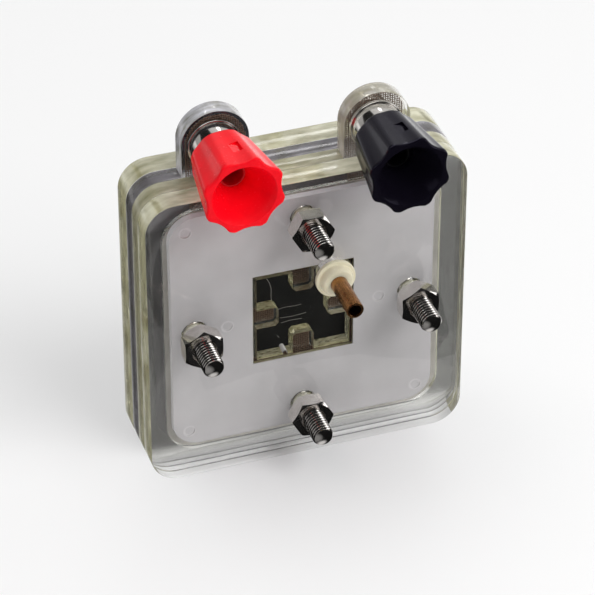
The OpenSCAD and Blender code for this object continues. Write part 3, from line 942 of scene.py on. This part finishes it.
    def place(self, name, mesh, slot, finishes, floors=()):
        """Sets out a plate with its finishes. floors are the depths of its milled pockets."""
        for finish in finishes:
            mesh.materials.append(finish)
        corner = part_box(name)[1]
        for face in mesh.polygons:
            face.material_index = self.surface(face, corner, floors)
        plate = set_out(name, "plate", mesh)
        # Light reaches what lies behind the plates
        plate.visible_shadow = plate.visible_diffuse = False

    def surface(self, face, corner, floors):
        """Which of a plate's surfaces a face belongs to. corner is the plate's highest corner."""
        sizes = self.sizes
        if abs(face.normal.y) > 0.9:
            depths = [i for i, y in enumerate(floors) if abs(face.center.y - y) < 0.01 * MM]
            return POCKET + depths[0] if depths else FACE
        x, z = face.center.x, face.center.z
        rim, top = 0.31 * sizes.corner_radius, 2 * self.middle
        on_peg = math.dist((x, z), self.peg_spot) < 0.6 * sizes.peg_diameter
        # The peg and the lower edges take the foot finish, which is painted nearly white as if lit
        if on_peg or (z < rim and face.normal.z < -0.7):
            return FOOT
        if z > top + 0.2 * MM:
            across, rise = abs(abs(x) - sizes.ear_offset), max(z - corner.z + sizes.ear_width / 2, 0)
            return EAR if math.hypot(across, rise) > sizes.ear_width / 2 - 0.3 * MM else FACE
        if abs(x) > corner.x - rim or z < rim or z > top - rim:
            return EDGE
        in_window = max(abs(x), abs(z - self.middle)) < sizes.window / 2 + sizes.lip + SLACK
        if in_window or any(math.dist((x, z), spot) < 0.6 * sizes.bolt_hole for spot in self.bolt_spots):
            return WALL
        return FACE


class FUELCELL_OT_sheets(bpy.types.Operator):
    """Finish the gaskets, the electrodes and the membrane"""

    bl_idname = "fuel_cell.sheets"
    bl_label = "Gaskets and electrodes"

    # Loose threads on the front electrode, as (x, z) points in millimetres
    LINES = (
        ((-5.96, 36.57), (-5.43, 35.6), (-5.11, 34.26), (-5.18, 32.37), (-5.0, 31.26)),
        ((-4.6, 29.3), (-2.4, 29.55), (-0.6, 29.4), (0.6, 29.5)),
        ((-3.5, 27.35), (-1.2, 27.2), (1.5, 27.4)),
        ((-3.3, 26.2), (-1.5, 26.4), (0.7, 26.3)),
        ((-4.04, 23.52), (-3.68, 23.0)),
    )

    def execute(self, context):
        settings = context.scene.fuel_cell
        colours, plates = settings.colours, settings.plates
        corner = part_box("front_gasket")[1].x - plates.mark_inset
        side = settings.fasteners.bolt_circle / 2 - plates.mark_gap
        middle = axis_of("front_gasket")[1]
        rubber = rubber_sheet(colours.rubber, corner, side, middle, plates.mark_diameter / 2)
        paint(rubber, "front_gasket", "rear_gasket")
        cloth = carbon_cloth(colours.carbon)
        paint(cloth, "rear_electrode")
        self.frayed("front_electrode", cloth, film("loose_thread", colours.thread))
        paint(film("membrane_film", colours.membrane), "membrane")
        return {"FINISHED"}

    def frayed(self, node, *finishes):
        """An electrode's cloth with a few loose threads on its face."""
        low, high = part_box(node)
        depth, radius = low.y - 0.03 * MM, 0.045 * MM
        body = box_mesh("cloth", low, high)
        threads = [self.thread([(x * MM, depth, z * MM) for x, z in line], radius) for line in self.LINES]
        for mesh in threads:
            for polygon in mesh.polygons:
                polygon.material_index = 1
        whole = merged(node, body, *threads)
        for finish in finishes:
            whole.materials.append(finish)
        set_out(node, "cloth", whole)

    def thread(self, points, radius):
        """A thin flattened thread along a line of points."""
        points = [Vector(p) for p in points]
        up = Vector((0, 1, 0))
        rings = []
        for i, here in enumerate(points):
            way = (points[min(i + 1, len(points) - 1)] - points[max(i - 1, 0)]).normalized()
            out = way.cross(up).normalized()
            rings.append([
                here + out * radius * math.cos(a) + up * 0.5 * radius * math.sin(a) for a in angles(6)
            ])
        return lofted("thread", rings)


class FUELCELL_OT_collectors(bpy.types.Operator):
    """Weave the two mesh collectors"""

    bl_idname = "fuel_cell.collectors"
    bl_label = "Collectors"

    def execute(self, context):
        settings = context.scene.fuel_cell
        wire = metal("mesh_wire", settings.colours.mesh, (0.45, 0.65), grain=0.2 * MM, metallic=0.4)
        weave = self.weave()
        pitch = settings.meshes.pitch
        for node in ("front_collector", "rear_collector"):
            low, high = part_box(node)
            mesh = weave.grow(
                node,
                Sheet=frame["nodes"][node],
                Pitch=pitch,
                Wire=settings.meshes.wire,
                Start=low + Vector((pitch / 2, 0, pitch / 2)),
                Columns=int((high.x - low.x) / pitch),
                Rows=int((high.z - low.z) / pitch),
                Finish=wire,
            )
            set_out(node, "weave", mesh)
        return {"FINISHED"}

    def weave(self):
        """Wires that run over and under each other wherever the sheet is."""
        tree = Recipe(
            "woven_sheet", Sheet="Object", Pitch="Float", Wire="Float", Start="Vector",
            Columns="Int", Rows="Int",
        )
        bundles = [self.wires(tree, *way) for way in ((2, 0, 1.0), (0, 2, -1.0))]
        both = tree.add("GeometryNodeJoinGeometry")
        for bundle in bundles:
            tree.feed(both.inputs[0], bundle)
        tree.finish(both)
        return tree

    def wires(self, tree, along, across, sign):
        """Wires along one axis and side by side on another. sign is 1 or -1, for over or under first."""
        pitch, wire, start = (tree.value(key) for key in ("Pitch", "Wire", "Start"))
        counts = {0: tree.value("Columns"), 2: tree.value("Rows")}
        step, shift = [0.0] * 3, [0.0] * 3
        step[along], shift[across] = tree.times(pitch, 0.5), pitch
        line = tree.add("GeometryNodeMeshLine", {
            "Count": tree.times(counts[along], 2.0),
            "Offset": tree.vector(*step),
        })
        rows = tree.add("GeometryNodeMeshLine", {
            "Count": counts[across],
            "Start Location": start,
            "Offset": tree.vector(*shift),
        })
        copies = tree.add("GeometryNodeInstanceOnPoints", {"Points": rows, "Instance": line})
        lines = tree.add("GeometryNodeRealizeInstances", {"Geometry": copies})
        x, _, z = tree.place()
        ray = tree.add("GeometryNodeRaycast", {
            "Target Geometry": tree.shape("Sheet"),
            "Source Position": tree.vector(x, -1.0, z),
            "Ray Direction": (0.0, 1.0, 0.0),
            "Ray Length": 3.0,
        })
        missed = tree.add("FunctionNodeBooleanMath", {0: ray.outputs["Is Hit"]}, operation="NOT")
        chosen = {"Geometry": lines, "Selection": missed}
        kept = tree.add("GeometryNodeDeleteGeometry", chosen, domain="POINT")
        origin = tree.split(start)
        swings = []
        for here, first in ((x, origin[0]), (z, origin[2])):
            off = tree.times(tree.math("SUBTRACT", here, first), math.pi)
            swings.append(tree.math("COSINE", tree.math("DIVIDE", off, pitch)))
        lift = tree.times(tree.times(*swings), tree.times(wire, 0.5 * sign))
        sheet_y = tree.split(ray.outputs["Hit Position"])[1]
        depth = tree.math("ADD", tree.math("ADD", sheet_y, wire), lift)
        woven = tree.add("GeometryNodeSetPosition", {"Geometry": kept, "Position": tree.vector(x, depth, z)})
        curves = tree.add("GeometryNodeMeshToCurve", {"Mesh": woven})
        section = {"Resolution": 4, "Radius": tree.times(wire, 0.5)}
        profile = tree.add("GeometryNodeCurvePrimitiveCircle", section)
        sweep = {"Curve": curves, "Profile Curve": profile, "Fill Caps": True}
        tubes = tree.add("GeometryNodeCurveToMesh", sweep)
        return tree.add("GeometryNodeSetShadeSmooth", {"Geometry": tubes})


def threaded_rod():
    """A rod along Z with a right-hand thread and chamfered ends."""
    tree = Recipe(
        "threaded_rod", Diameter="Float", Length="Float", Pitch="Float", Depth="Float", Chamfer="Float"
    )
    radius = tree.times(tree.value("Diameter"), 0.5)
    length, pitch = tree.value("Length"), tree.value("Pitch")
    rows = tree.math("ROUND", tree.times(tree.math("DIVIDE", length, pitch), 8.0))
    sizes = {"Vertices": 36, "Side Segments": rows, "Radius": radius, "Depth": length}
    blank = tree.add("GeometryNodeMeshCylinder", sizes)
    x, y, z = tree.place()
    share = tree.math("DIVIDE", tree.math("ARCTAN2", y, x), TURN)
    phase = tree.math("FRACT", tree.math("SUBTRACT", tree.math("DIVIDE", z, pitch), share))
    fold = tree.apart(tree.times(phase, 2.0), 1.0)
    groove = tree.ramp(fold, 0.85, 0.2)
    thread = tree.math("SUBTRACT", radius, tree.times(groove, tree.value("Depth")))
    to_end = tree.math("SUBTRACT", tree.times(length, 0.5), tree.math("ABSOLUTE", z))
    cone = tree.math("ADD", tree.math("SUBTRACT", radius, tree.value("Chamfer")), to_end)
    scale = tree.math("DIVIDE", tree.math("MINIMUM", thread, cone), radius)
    place = tree.vector(tree.times(x, scale), tree.times(y, scale), z)
    cut = tree.add("GeometryNodeSetPosition", {"Geometry": blank, "Position": place})
    tree.finish(tree.add("GeometryNodeSetShadeSmooth", {"Geometry": cut}))
    return tree


def laid_along(mesh, spot, back, front):
    """Turns a mesh that stands along Z so that it points to the front between two depths."""
    move = Matrix.Translation((spot[0], (front + back) / 2, spot[1]))
    mesh.transform(move @ Matrix.Rotation(TURN / 4, 4, "X"))
    return mesh


class FUELCELL_OT_clamps(bpy.types.Operator):
    """Build the clamp bolts, their nuts and their washers"""

    bl_idname = "fuel_cell.clamps"
    bl_label = "Clamp bolts"

    def execute(self, context):
        settings = context.scene.fuel_cell
        sizes = settings.fasteners
        steel = metal(
            "stainless_steel", settings.colours.steel, (0.07, 0.17), grain=0.25 * MM, depth=0.0012 * MM
        )
        nut_face, nut_seat = depth_of("clamp_nuts")
        nut = hex_piece("nut", HOME, nut_seat, nut_face, sizes.flats, sizes.thread / 2, True)
        outer = radius_of("bolt_washers") - sizes.bolt_circle / 2
        washer = tube_profile(sizes.washer_bore / 2, outer, *depth_of("bolt_washers"))
        parts = (
            ("clamp_bolts", self.bolt(sizes, steel)),
            ("clamp_nuts", nut),
            ("bolt_washers", turned("washer", HOME, eased(washer, sizes.ease))),
        )
        pattern = self.pattern()
        for node, mesh in parts:
            part = linked(mesh.name, mesh)
            whole = pattern.grow(
                node, Part=part, Count=4, Radius=sizes.bolt_circle / 2, Height=axis_of("front_cover")[1],
                Finish=steel,
            )
            discard(part)
            set_out(node, "set", whole)
        return {"FINISHED"}

    def bolt(self, sizes, steel):
        """A bolt on the Y axis: a threaded shank with a domed end, and a hexagon head."""
        tip, head = depth_of("clamp_bolts")
        seat = depth_of("bolt_washers")[1]
        neck = tip + sizes.tip_dome
        shank = threaded_rod().grow(
            "shank", Diameter=sizes.thread, Length=seat - neck, Pitch=sizes.pitch,
            Depth=sizes.thread_depth, Chamfer=sizes.tip_chamfer, Finish=steel,
        )
        laid_along(shank, HOME, seat, neck)
        end, root = sizes.thread / 2 - sizes.tip_chamfer, neck + 0.1 * MM
        dome = [(end * k / 8, tip + sizes.tip_dome * (k / 8) ** 2) for k in range(8, 0, -1)]
        nose = turned("nose", HOME, dome + [(PINHOLE, tip), (PINHOLE, root), (end, root)])
        core = tube_profile(PINHOLE, sizes.flats * 0.48, seat, head - 0.02 * MM)
        cap = turned("cap", HOME, eased(core, 0.01 * MM, 1))
        sides = hex_piece("head", HOME, seat, head, sizes.flats, sizes.flats * 0.45, False)
        return merged("bolt", shank, nose, cap, sides)

    def pattern(self):
        """Copies of a part round an upright circle."""
        tree = Recipe("parts_on_a_circle", Part="Object", Count="Int", Radius="Float", Height="Float")
        count = tree.value("Count")
        spots = tree.add("GeometryNodeMeshCircle", {"Vertices": count, "Radius": tree.value("Radius")})
        upright = tree.add("GeometryNodeTransform", {
            "Geometry": spots,
            "Translation": tree.vector(z=tree.value("Height")),
            "Rotation": (TURN / 4, 0.0, 0.0),
        })
        turn = tree.times(tree.add("GeometryNodeInputIndex"), tree.math("DIVIDE", TURN, count))
        copies = tree.add("GeometryNodeInstanceOnPoints", {
            "Points": upright,
            "Instance": tree.shape("Part"),
            "Rotation": tree.vector(y=turn),
        })
        tree.finish(copies)
        return tree


class FUELCELL_OT_inlets(bpy.types.Operator):
    """Build the gas tubes and their grommets"""

    bl_idname = "fuel_cell.inlets"
    bl_label = "Gas inlets"

    def execute(self, context):
        settings = context.scene.fuel_cell
        colours = settings.colours
        ivory = moulded(
            "ivory_rubber", colours.ivory, (0.16, 0.3), grain=0.3 * MM, depth=0.004 * MM,
            Subsurface_Weight=0.15, Subsurface_Radius=(0.002, 0.0016, 0.001),
        )
        copper = metal(
            "copper_tube", colours.copper, (0.2, 0.32), grain=0.16 * MM, depth=0.003 * MM, stretch=(1, 12, 1)
        )
        for gas, way in (("hydrogen", -1), ("oxygen", 1)):
            self.inlet(gas, way, settings, ivory, copper)
        return {"FINISHED"}

    def inlet(self, gas, way, settings, ivory, copper):
        """One grommet with its tube. way is 1 where they point to the back, and -1 to the front."""
        sizes = settings.inlets
        grommet, tube = f"{gas}_grommet", f"{gas}_tube"
        spot, flange = axis_of(grommet), radius_of(grommet)
        inner, nose = depth_of(grommet)[::way]
        face = nose - way * sizes.nose_height
        shoulder = face + way * sizes.flange_thickness
        plug, grip = settings.plates.plug_hole / 2 - SLACK, sizes.root_diameter / 2 + SLACK
        dome, nose_radius = sizes.dome_diameter / 2, sizes.nose_diameter / 2
        profile = [(grip, inner), (plug, inner), (plug, face), (flange, face), (flange, shoulder)]
        for k in range(5):
            t = TURN / 4 * k / 5
            narrowing = (dome - nose_radius) * (1 - math.cos(t)) * 0.7
            profile.append((dome - narrowing, shoulder + (nose - shoulder) * math.sin(t)))
        profile += [(nose_radius, nose), (grip, nose)]
        moulding = turned(grommet, spot, eased(profile, sizes.grommet_ease))
        set_out(grommet, "moulding", moulding, finish=ivory)
        root, tip = depth_of(tube)[::way]
        bore, outer, thin = sizes.tube_bore / 2, sizes.tube_diameter / 2, sizes.root_diameter / 2
        wall = [(bore, root), (thin, root), (thin, nose), (outer, nose), (outer, tip), (bore, tip)]
        drawn = turned(tube, spot, eased(wall, sizes.tube_ease))
        set_out(tube, "drawn", drawn, finish=copper)


class FUELCELL_OT_posts(bpy.types.Operator):
    """Build the binding posts' washers, stems and rear nuts, and finish their lock washers"""

    bl_idname = "fuel_cell.posts"
    bl_label = "Binding posts"

    def execute(self, context):
        settings = context.scene.fuel_cell
        colours = settings.colours
        nickel = metal("nickel_plate", colours.nickel, (0.06, 0.16), grain=0.3 * MM, depth=0.0015 * MM)
        steel = metal("post_steel", colours.steel, (0.12, 0.26), grain=0.25 * MM, depth=0.002 * MM)
        for side in ("red", "black"):
            # Painted shade inside the sockets; the red one also paints the red knob's reflection
            name = f"{side}_socket"
            lining = moulded(
                f"{name}_lining", getattr(colours, name), (0.35, 0.5), grain=0.3 * MM, depth=0.002 * MM
            )
            self.washer(side, settings.posts, settings.fasteners, nickel)
            self.stem(side, settings.posts, settings.fasteners, nickel, lining)
            self.nut(side, settings.fasteners, steel)
        paint(steel, "red_lock_washer", "black_lock_washer")
        return {"FINISHED"}

    def washer(self, side, sizes, bolts, nickel):
        """The plated washer in front of the ear."""
        name = f"{side}_washer"
        profile = tube_profile(bolts.washer_bore / 2, radius_of(name), *depth_of(name))
        plated = turned(name, axis_of(name), eased(profile, sizes.washer_ease), 96)
        set_out(name, "turned", plated, finish=nickel)

    def nut(self, side, bolts, steel):
        """The nut behind the ear, with a flat side up."""
        name, spot = f"{side}_nut", axis_of(f"{side}_washer")
        seat, face = depth_of(name)
        hexed = hex_piece(name, spot, seat, face, bolts.flats, bolts.thread / 2, True, TURN / 12)
        set_out(name, "hexagon", hexed, finish=steel)

    def stem(self, side, sizes, bolts, nickel, lining):
        """A stem with its collar, its plug socket, its thread and its rear stud."""
        name = f"{side}_stem"
        spot = axis_of(f"{side}_washer")
        front, back = depth_of(f"{side}_washer")
        tip, rear = depth_of(name)
        face, bottom = front - sizes.collar_length, tip + sizes.socket_depth
        collar, socket = sizes.collar_diameter / 2, sizes.socket_diameter / 2
        neck, stud_core = sizes.stem_diameter / 2 - sizes.stem_depth, sizes.stud_core / 2
        end, core_end = tip + 0.1 * MM, rear - 0.1 * MM
        profile = [
            (PINHOLE, bottom), (socket, bottom), (socket, tip), (neck, tip), (neck, face), (collar, face),
            (collar, front), (stud_core, front), (stud_core, core_end), (PINHOLE, core_end),
        ]
        body = turned(name, spot, eased(profile, sizes.stem_ease), 96)
        # The socket's faces take the painted shade finish
        for polygon in body.polygons:
            off = math.dist((polygon.center.x, polygon.center.z), spot)
            in_socket = off < neck - 0.02 * MM and polygon.center.y < bottom + 0.1 * MM
            polygon.material_index = int(in_socket)
        rods = threaded_rod()
        thread = rods.grow(
            "stem_thread", Diameter=sizes.stem_diameter, Length=face - end, Pitch=sizes.stem_pitch,
            Depth=sizes.stem_depth, Chamfer=sizes.stem_depth, Finish=nickel,
        )
        laid_along(thread, spot, face, end)
        core = rod(spot, tip - OVERCUT, face + OVERCUT, 2 * neck - 0.1 * MM)
        stud = rods.grow(
            "rear_stud", Diameter=bolts.thread, Length=rear - back, Pitch=bolts.pitch,
            Depth=bolts.thread_depth, Chamfer=bolts.tip_chamfer, Finish=nickel,
        )
        laid_along(stud, spot, rear, back)
        whole = merged(name, body, carved(thread, core), stud)
        for finish in (nickel, lining):
            whole.materials.append(finish)
        set_out(name, "threaded", whole)


class FUELCELL_OT_knobs(bpy.types.Operator):
    """Build the fluted knobs and finish their threaded inserts"""

    bl_idname = "fuel_cell.knobs"
    bl_label = "Knobs"

    def execute(self, context):
        settings = context.scene.fuel_cell
        colours = settings.colours
        red = moulded(
            "red_plastic", colours.red, (0.18, 0.28), grain=0.5 * MM, depth=0.002 * MM,
            Specular_IOR_Level=0.22,
        )
        black = moulded(
            "black_plastic", colours.black, (0.16, 0.26), grain=0.5 * MM, depth=0.002 * MM,
            Specular_IOR_Level=0.25, Specular_Tint=(0.72, 0.68, 1.0, 1.0),
        )
        for side, finish in (("red", red), ("black", black)):
            knob = f"{side}_knob"
            shape = self.knob(knob, settings.knobs)
            set_out(knob, "fluted", shape, body=knob, finish=finish)
        brass = metal("insert_brass", colours.brass, (0.2, 0.35), grain=0.2 * MM)
        paint(brass, "red_insert", "black_insert")
        return {"FINISHED"}

    def knob(self, name, sizes):
        """A tapered, fluted cup with the seat of its insert inside."""
        spot = axis_of(name)
        front, back = depth_of(name)
        length = back - front
        rim_at = length - sizes.rim
        columns = sizes.flutes * 24
        rows, round_rows, rim_rows, cup_rows = 24, 8, 5, 6

        def along(one, two, depth):
            return one + (two - one) * (depth - sizes.back_round) / (rim_at - sizes.back_round)

        def lobe_radius(depth):
            return along(sizes.back_diameter, sizes.front_diameter, depth) / 2

        def floor_radius(depth):
            return lobe_radius(depth) - along(sizes.flute_back, sizes.flute_front, depth)

        def lobes(depth):
            """Radii round the knob at a distance from its back end."""
            over = lobe_radius(depth)
            if depth < sizes.back_round:
                rise = math.sqrt(depth * (2 * sizes.back_round - depth))
                over = sizes.back_diameter / 2 - sizes.back_round + rise
            reach, step = floor_radius(depth) + sizes.flute_radius, TURN / sizes.flutes
            radii = []
            for a in angles(columns):
                off = (a - TURN / 4 - sizes.turn + step / 2) % step - step / 2
                sag = math.sqrt(sizes.flute_radius**2 - (reach * math.sin(off)) ** 2)
                flute = reach * math.cos(off) - sag
                nearness = max(sizes.lobe_ease - abs(flute - over), 0) / sizes.lobe_ease
                radii.append(min(flute, over) - nearness**2 * sizes.lobe_ease / 4)
            return radii

        def row(radii, depth):
            return ring(spot, radii, [back - depth] * columns)

        depths = [sizes.back_round * (1 - math.cos(TURN / 4 * k / round_rows)) for k in range(round_rows)]
        depths += [sizes.back_round + (rim_at - sizes.back_round) * k / rows for k in range(rows + 1)]
        rings = [row(lobes(depth), depth) for depth in depths]
        edge = lobes(rim_at)
        for k in range(1, rim_rows + 1):
            t = TURN / 4 * k / rim_rows
            radii = [r - sizes.rim * (1 - math.cos(t)) for r in edge]
            rings.append(row(radii, rim_at + sizes.rim * math.sin(t)))
        insert_back, insert_front = (back - y for y in depth_of(name.replace("knob", "insert"))[::-1])
        insert_back -= SLACK
        insert_front += SLACK
        cup, throat = sizes.cup_diameter / 2, sizes.throat / 2
        seat, passage = sizes.seat / 2, sizes.passage / 2
        mouth, chamfer = cup - 0.05 * MM, 0.2 * MM
        inside = [(mouth + chamfer, length), (mouth, length - chamfer)]
        for k in range(1, cup_rows + 1):
            inside.append((cup + (throat - cup) * k / cup_rows, length - sizes.cup_depth * k / cup_rows))
        inside += [(throat, insert_front), (seat, insert_front), (seat, insert_back)]
        inside += [(passage, insert_back), (passage, 0.0)]
        rings += [row([r] * columns, depth) for r, depth in inside]
        mark = self.gate(spot, back, floor_radius(sizes.gate_at), sizes)
        return carved(lofted(name, rings, closed=True), mark)

    def gate(self, spot, back, floor, sizes):
        """A cutter for the gate mark on the upper flute. floor is the flute's radius there."""
        half, bottom = sizes.gate_width / 2, floor - sizes.gate_depth
        low = (-half, back - sizes.gate_at - sizes.gate_length, bottom)
        mark = box_mesh("gate", low, (half, back - sizes.gate_at, bottom + 5 * OVERCUT))
        lean = Matrix.Rotation(sizes.gate_turn - sizes.turn, 4, "Y")
        mark.transform(Matrix.Translation((spot[0], 0, spot[1])) @ lean)
        return mark


class FUELCELL_OT_stage(bpy.types.Operator):
    """Set up the floor, the lamps, the surrounding light and the camera"""

    bl_idname = "fuel_cell.stage"
    bl_label = "Studio"

    # Cards for reflections: name, middle, width, height, the one kind of ray that sees them, and glow
    CARDS = (
        ("front_card", (0.0, -0.7, 0.5), (2.4, 0, 0), (0, 0, 1.0), "glossy", 0.0),
        ("top_card", (0.0, -0.35, 1.0), (2.4, 0, 0), (0, 0.7, 0), "glossy", 0.0),
        ("back_card", (-0.42, 0.8, 0.62), (0.55, 0, 0), (0, 0, 0.5), "glossy", 0.0),
        ("floor_card", (0.0135, -0.048, 0.0005), (0.042, 0, 0), (0, 0.04, 0), "transmission", 0.0),
        ("white_card", (0.27, 0.78, 0.607), (0.12, 0, 0), (0, 0, 0.12), "glossy", 5.0),
        ("side_card", (0.76, -0.64, 0.1), (0.29, 0.34, 0), (0, 0, 0.5), "glossy", 2.0),
    )
    # Paler patches in the dark part of the surround: direction, where they start and end, and level
    PATCHES = (
        ((-0.17, -0.8, -0.575), 0.92, 0.985, 0.34),
        ((0.17, -0.45, -0.877), 0.97, 0.995, 1.0),
    )

    def execute(self, context):
        scene = context.scene
        settings = scene.fuel_cell
        stage = settings.stage
        self.floor(settings.colours.floor)
        self.dome(scene, stage.dome)
        aim = Vector(stage.aim)
        self.lamp("key_lamp", (0.42, -0.5, 0.62), aim, (0.5, 0.5), stage.key).visible_glossy = False
        self.lamp("top_lamp", (-0.1, 0.25, 0.8), aim, (0.9, 0.5), stage.top)
        for card in self.CARDS:
            self.card(*card)
        self.camera(scene, stage, aim)
        scene.view_settings.view_transform = "Standard"
        scene.cycles.max_bounces = 28
        scene.cycles.transmission_bounces = 28
        scene.cycles.glossy_bounces = 10
        scene.cycles.diffuse_bounces = 6
        scene.cycles.caustics_reflective = False
        scene.cycles.caustics_refractive = False
        return {"FINISHED"}

    def floor(self, tint):
        """A pale floor that keeps the shadow. Reflections see past it."""
        finish = Finish("studio_floor", Roughness=0.9, Specular_IOR_Level=0.1)
        finish.shade(finish.spread(finish.noise(0.2, detail=2)), tint, 0.995, 1)
        shape = bmesh.new()
        bmesh.ops.create_circle(shape, cap_ends=True, segments=96, radius=6.0)
        mesh = as_mesh(shape, "studio_floor")
        mesh.materials.append(finish.material)
        floor = linked("studio_floor", mesh)
        floor.location.z = -0.1 * MM
        floor.visible_glossy = False

    def dome(self, scene, strength):
        """A pale surround that is dark below in front and at the left, where only reflections see it."""
        world = bpy.data.worlds.new("studio")
        scene.world = world
        world.use_nodes = True
        kit = NodeKit(world.node_tree)
        way = kit.add("ShaderNodeTexCoord").outputs["Generated"]
        x, y, z = kit.split(way)
        sky = kit.times(kit.ramp(z, 0.0, 0.8, 0.75, 1.0), kit.ramp(x, -0.8, 0.2, 0.55, 1.0))
        below = kit.ramp(z, 0.0, -0.05)
        pale = kit.add("ShaderNodeMix", {0: below, 2: sky, 3: kit.ramp(x, 0.25, 0.6, 1.25, 1.9)})
        left = kit.times(kit.ramp(x, 0.1, -0.15), kit.ramp(z, -0.15, -0.35))
        dark = kit.times(kit.math("MAXIMUM", kit.ramp(y, 0.35, 0.1), left), below)
        levels = []
        for aim, start, end, level in self.PATCHES:
            near = kit.add("ShaderNodeVectorMath", {0: way, 1: aim}, operation="DOT_PRODUCT")
            levels.append(kit.ramp(near.outputs["Value"], start, end, 0.01, level))
        level = kit.add("ShaderNodeMix", {0: dark, 2: pale, 3: kit.math("MAXIMUM", *levels)})
        background = world.node_tree.nodes["Background"]
        kit.feed(background.inputs["Color"], kit.vector(level, level, level))
        background.inputs["Strength"].default_value = strength

    def card(self, name, place, width, height, ray, glow):
        """A card that gives bright metal and clear plastic a dark or a light part."""
        middle, right, up = Vector(place), Vector(width) / 2, Vector(height) / 2
        corners = (middle - right - up, middle + right - up, middle + right + up, middle - right + up)
        shape = bmesh.new()
        shape.faces.new([shape.verts.new(corner) for corner in corners])
        mesh = as_mesh(shape, name)
        finish = Finish(
            name, Roughness=0.9, Specular_IOR_Level=0.1, Emission_Color=(1, 1, 1, 1), Emission_Strength=glow
        )
        finish.tint(finish.noise(0.2, detail=2), [0.012] * 3, [0.018] * 3)
        mesh.materials.append(finish.material)
        card = linked(name, mesh)
        for kind in ("camera", "diffuse", "glossy", "transmission", "volume_scatter", "shadow"):
            setattr(card, f"visible_{kind}", kind == ray)

    def lamp(self, name, place, aim, spans, power):
        lamp = bpy.data.lights.new(name, "AREA")
        lamp.shape = "RECTANGLE"
        lamp.size, lamp.size_y = spans
        lamp.energy = power
        holder = linked(name, lamp)
        holder.location = place
        holder.rotation_euler = (aim - Vector(place)).to_track_quat("-Z", "Y").to_euler()
        return holder

    def camera(self, scene, stage, aim):
        lens = bpy.data.cameras.new("camera")
        lens.lens = stage.lens
        lens.sensor_width = 36.0
        lens.clip_start, lens.clip_end = 0.01, 20.0
        camera = linked("camera", lens)
        turn = Matrix.Rotation(stage.azimuth, 3, "Z")
        way = turn @ Vector((0, -math.cos(stage.elevation), math.sin(stage.elevation)))
        camera.location = aim + way * stage.distance
        camera.rotation_euler = (TURN / 4 - stage.elevation, 0.0, stage.azimuth)
        scene.camera = camera


OPERATORS = (
    FUELCELL_OT_plates,
    FUELCELL_OT_sheets,
    FUELCELL_OT_collectors,
    FUELCELL_OT_clamps,
    FUELCELL_OT_inlets,
    FUELCELL_OT_posts,
    FUELCELL_OT_knobs,
    FUELCELL_OT_stage,
)


class FUELCELL_PT_builder(bpy.types.Panel):
    """Buttons that build the fuel cell piece by piece"""

    bl_idname = "FUELCELL_PT_builder"
    bl_label = "Fuel Cell"
    bl_space_type = "VIEW_3D"
    bl_region_type = "UI"
    bl_category = "Fuel Cell"

    def draw(self, context):
        for operator in OPERATORS:
            self.layout.operator(operator.bl_idname)


CLASSES = (
    PlateSizes,
    FastenerSizes,
    InletSizes,
    PostSizes,
    KnobSizes,
    MeshSizes,
    Colours,
    StageSizes,
    FuelCellSettings,
    *OPERATORS,
    FUELCELL_PT_builder,
)


def register():
    for cls in CLASSES:
        bpy.utils.register_class(cls)
    bpy.types.Scene.fuel_cell = PointerProperty(type=FuelCellSettings)


def unregister():
    del bpy.types.Scene.fuel_cell
    for cls in reversed(CLASSES):
        bpy.utils.unregister_class(cls)


def main():
    register()
    bpy.ops.fuel_cell.plates()
    bpy.ops.fuel_cell.sheets()
    bpy.ops.fuel_cell.collectors()
    bpy.ops.fuel_cell.clamps()
    bpy.ops.fuel_cell.inlets()
    bpy.ops.fuel_cell.posts()
    bpy.ops.fuel_cell.knobs()
    bpy.ops.fuel_cell.stage()


if __name__ == "__main__":
    main()
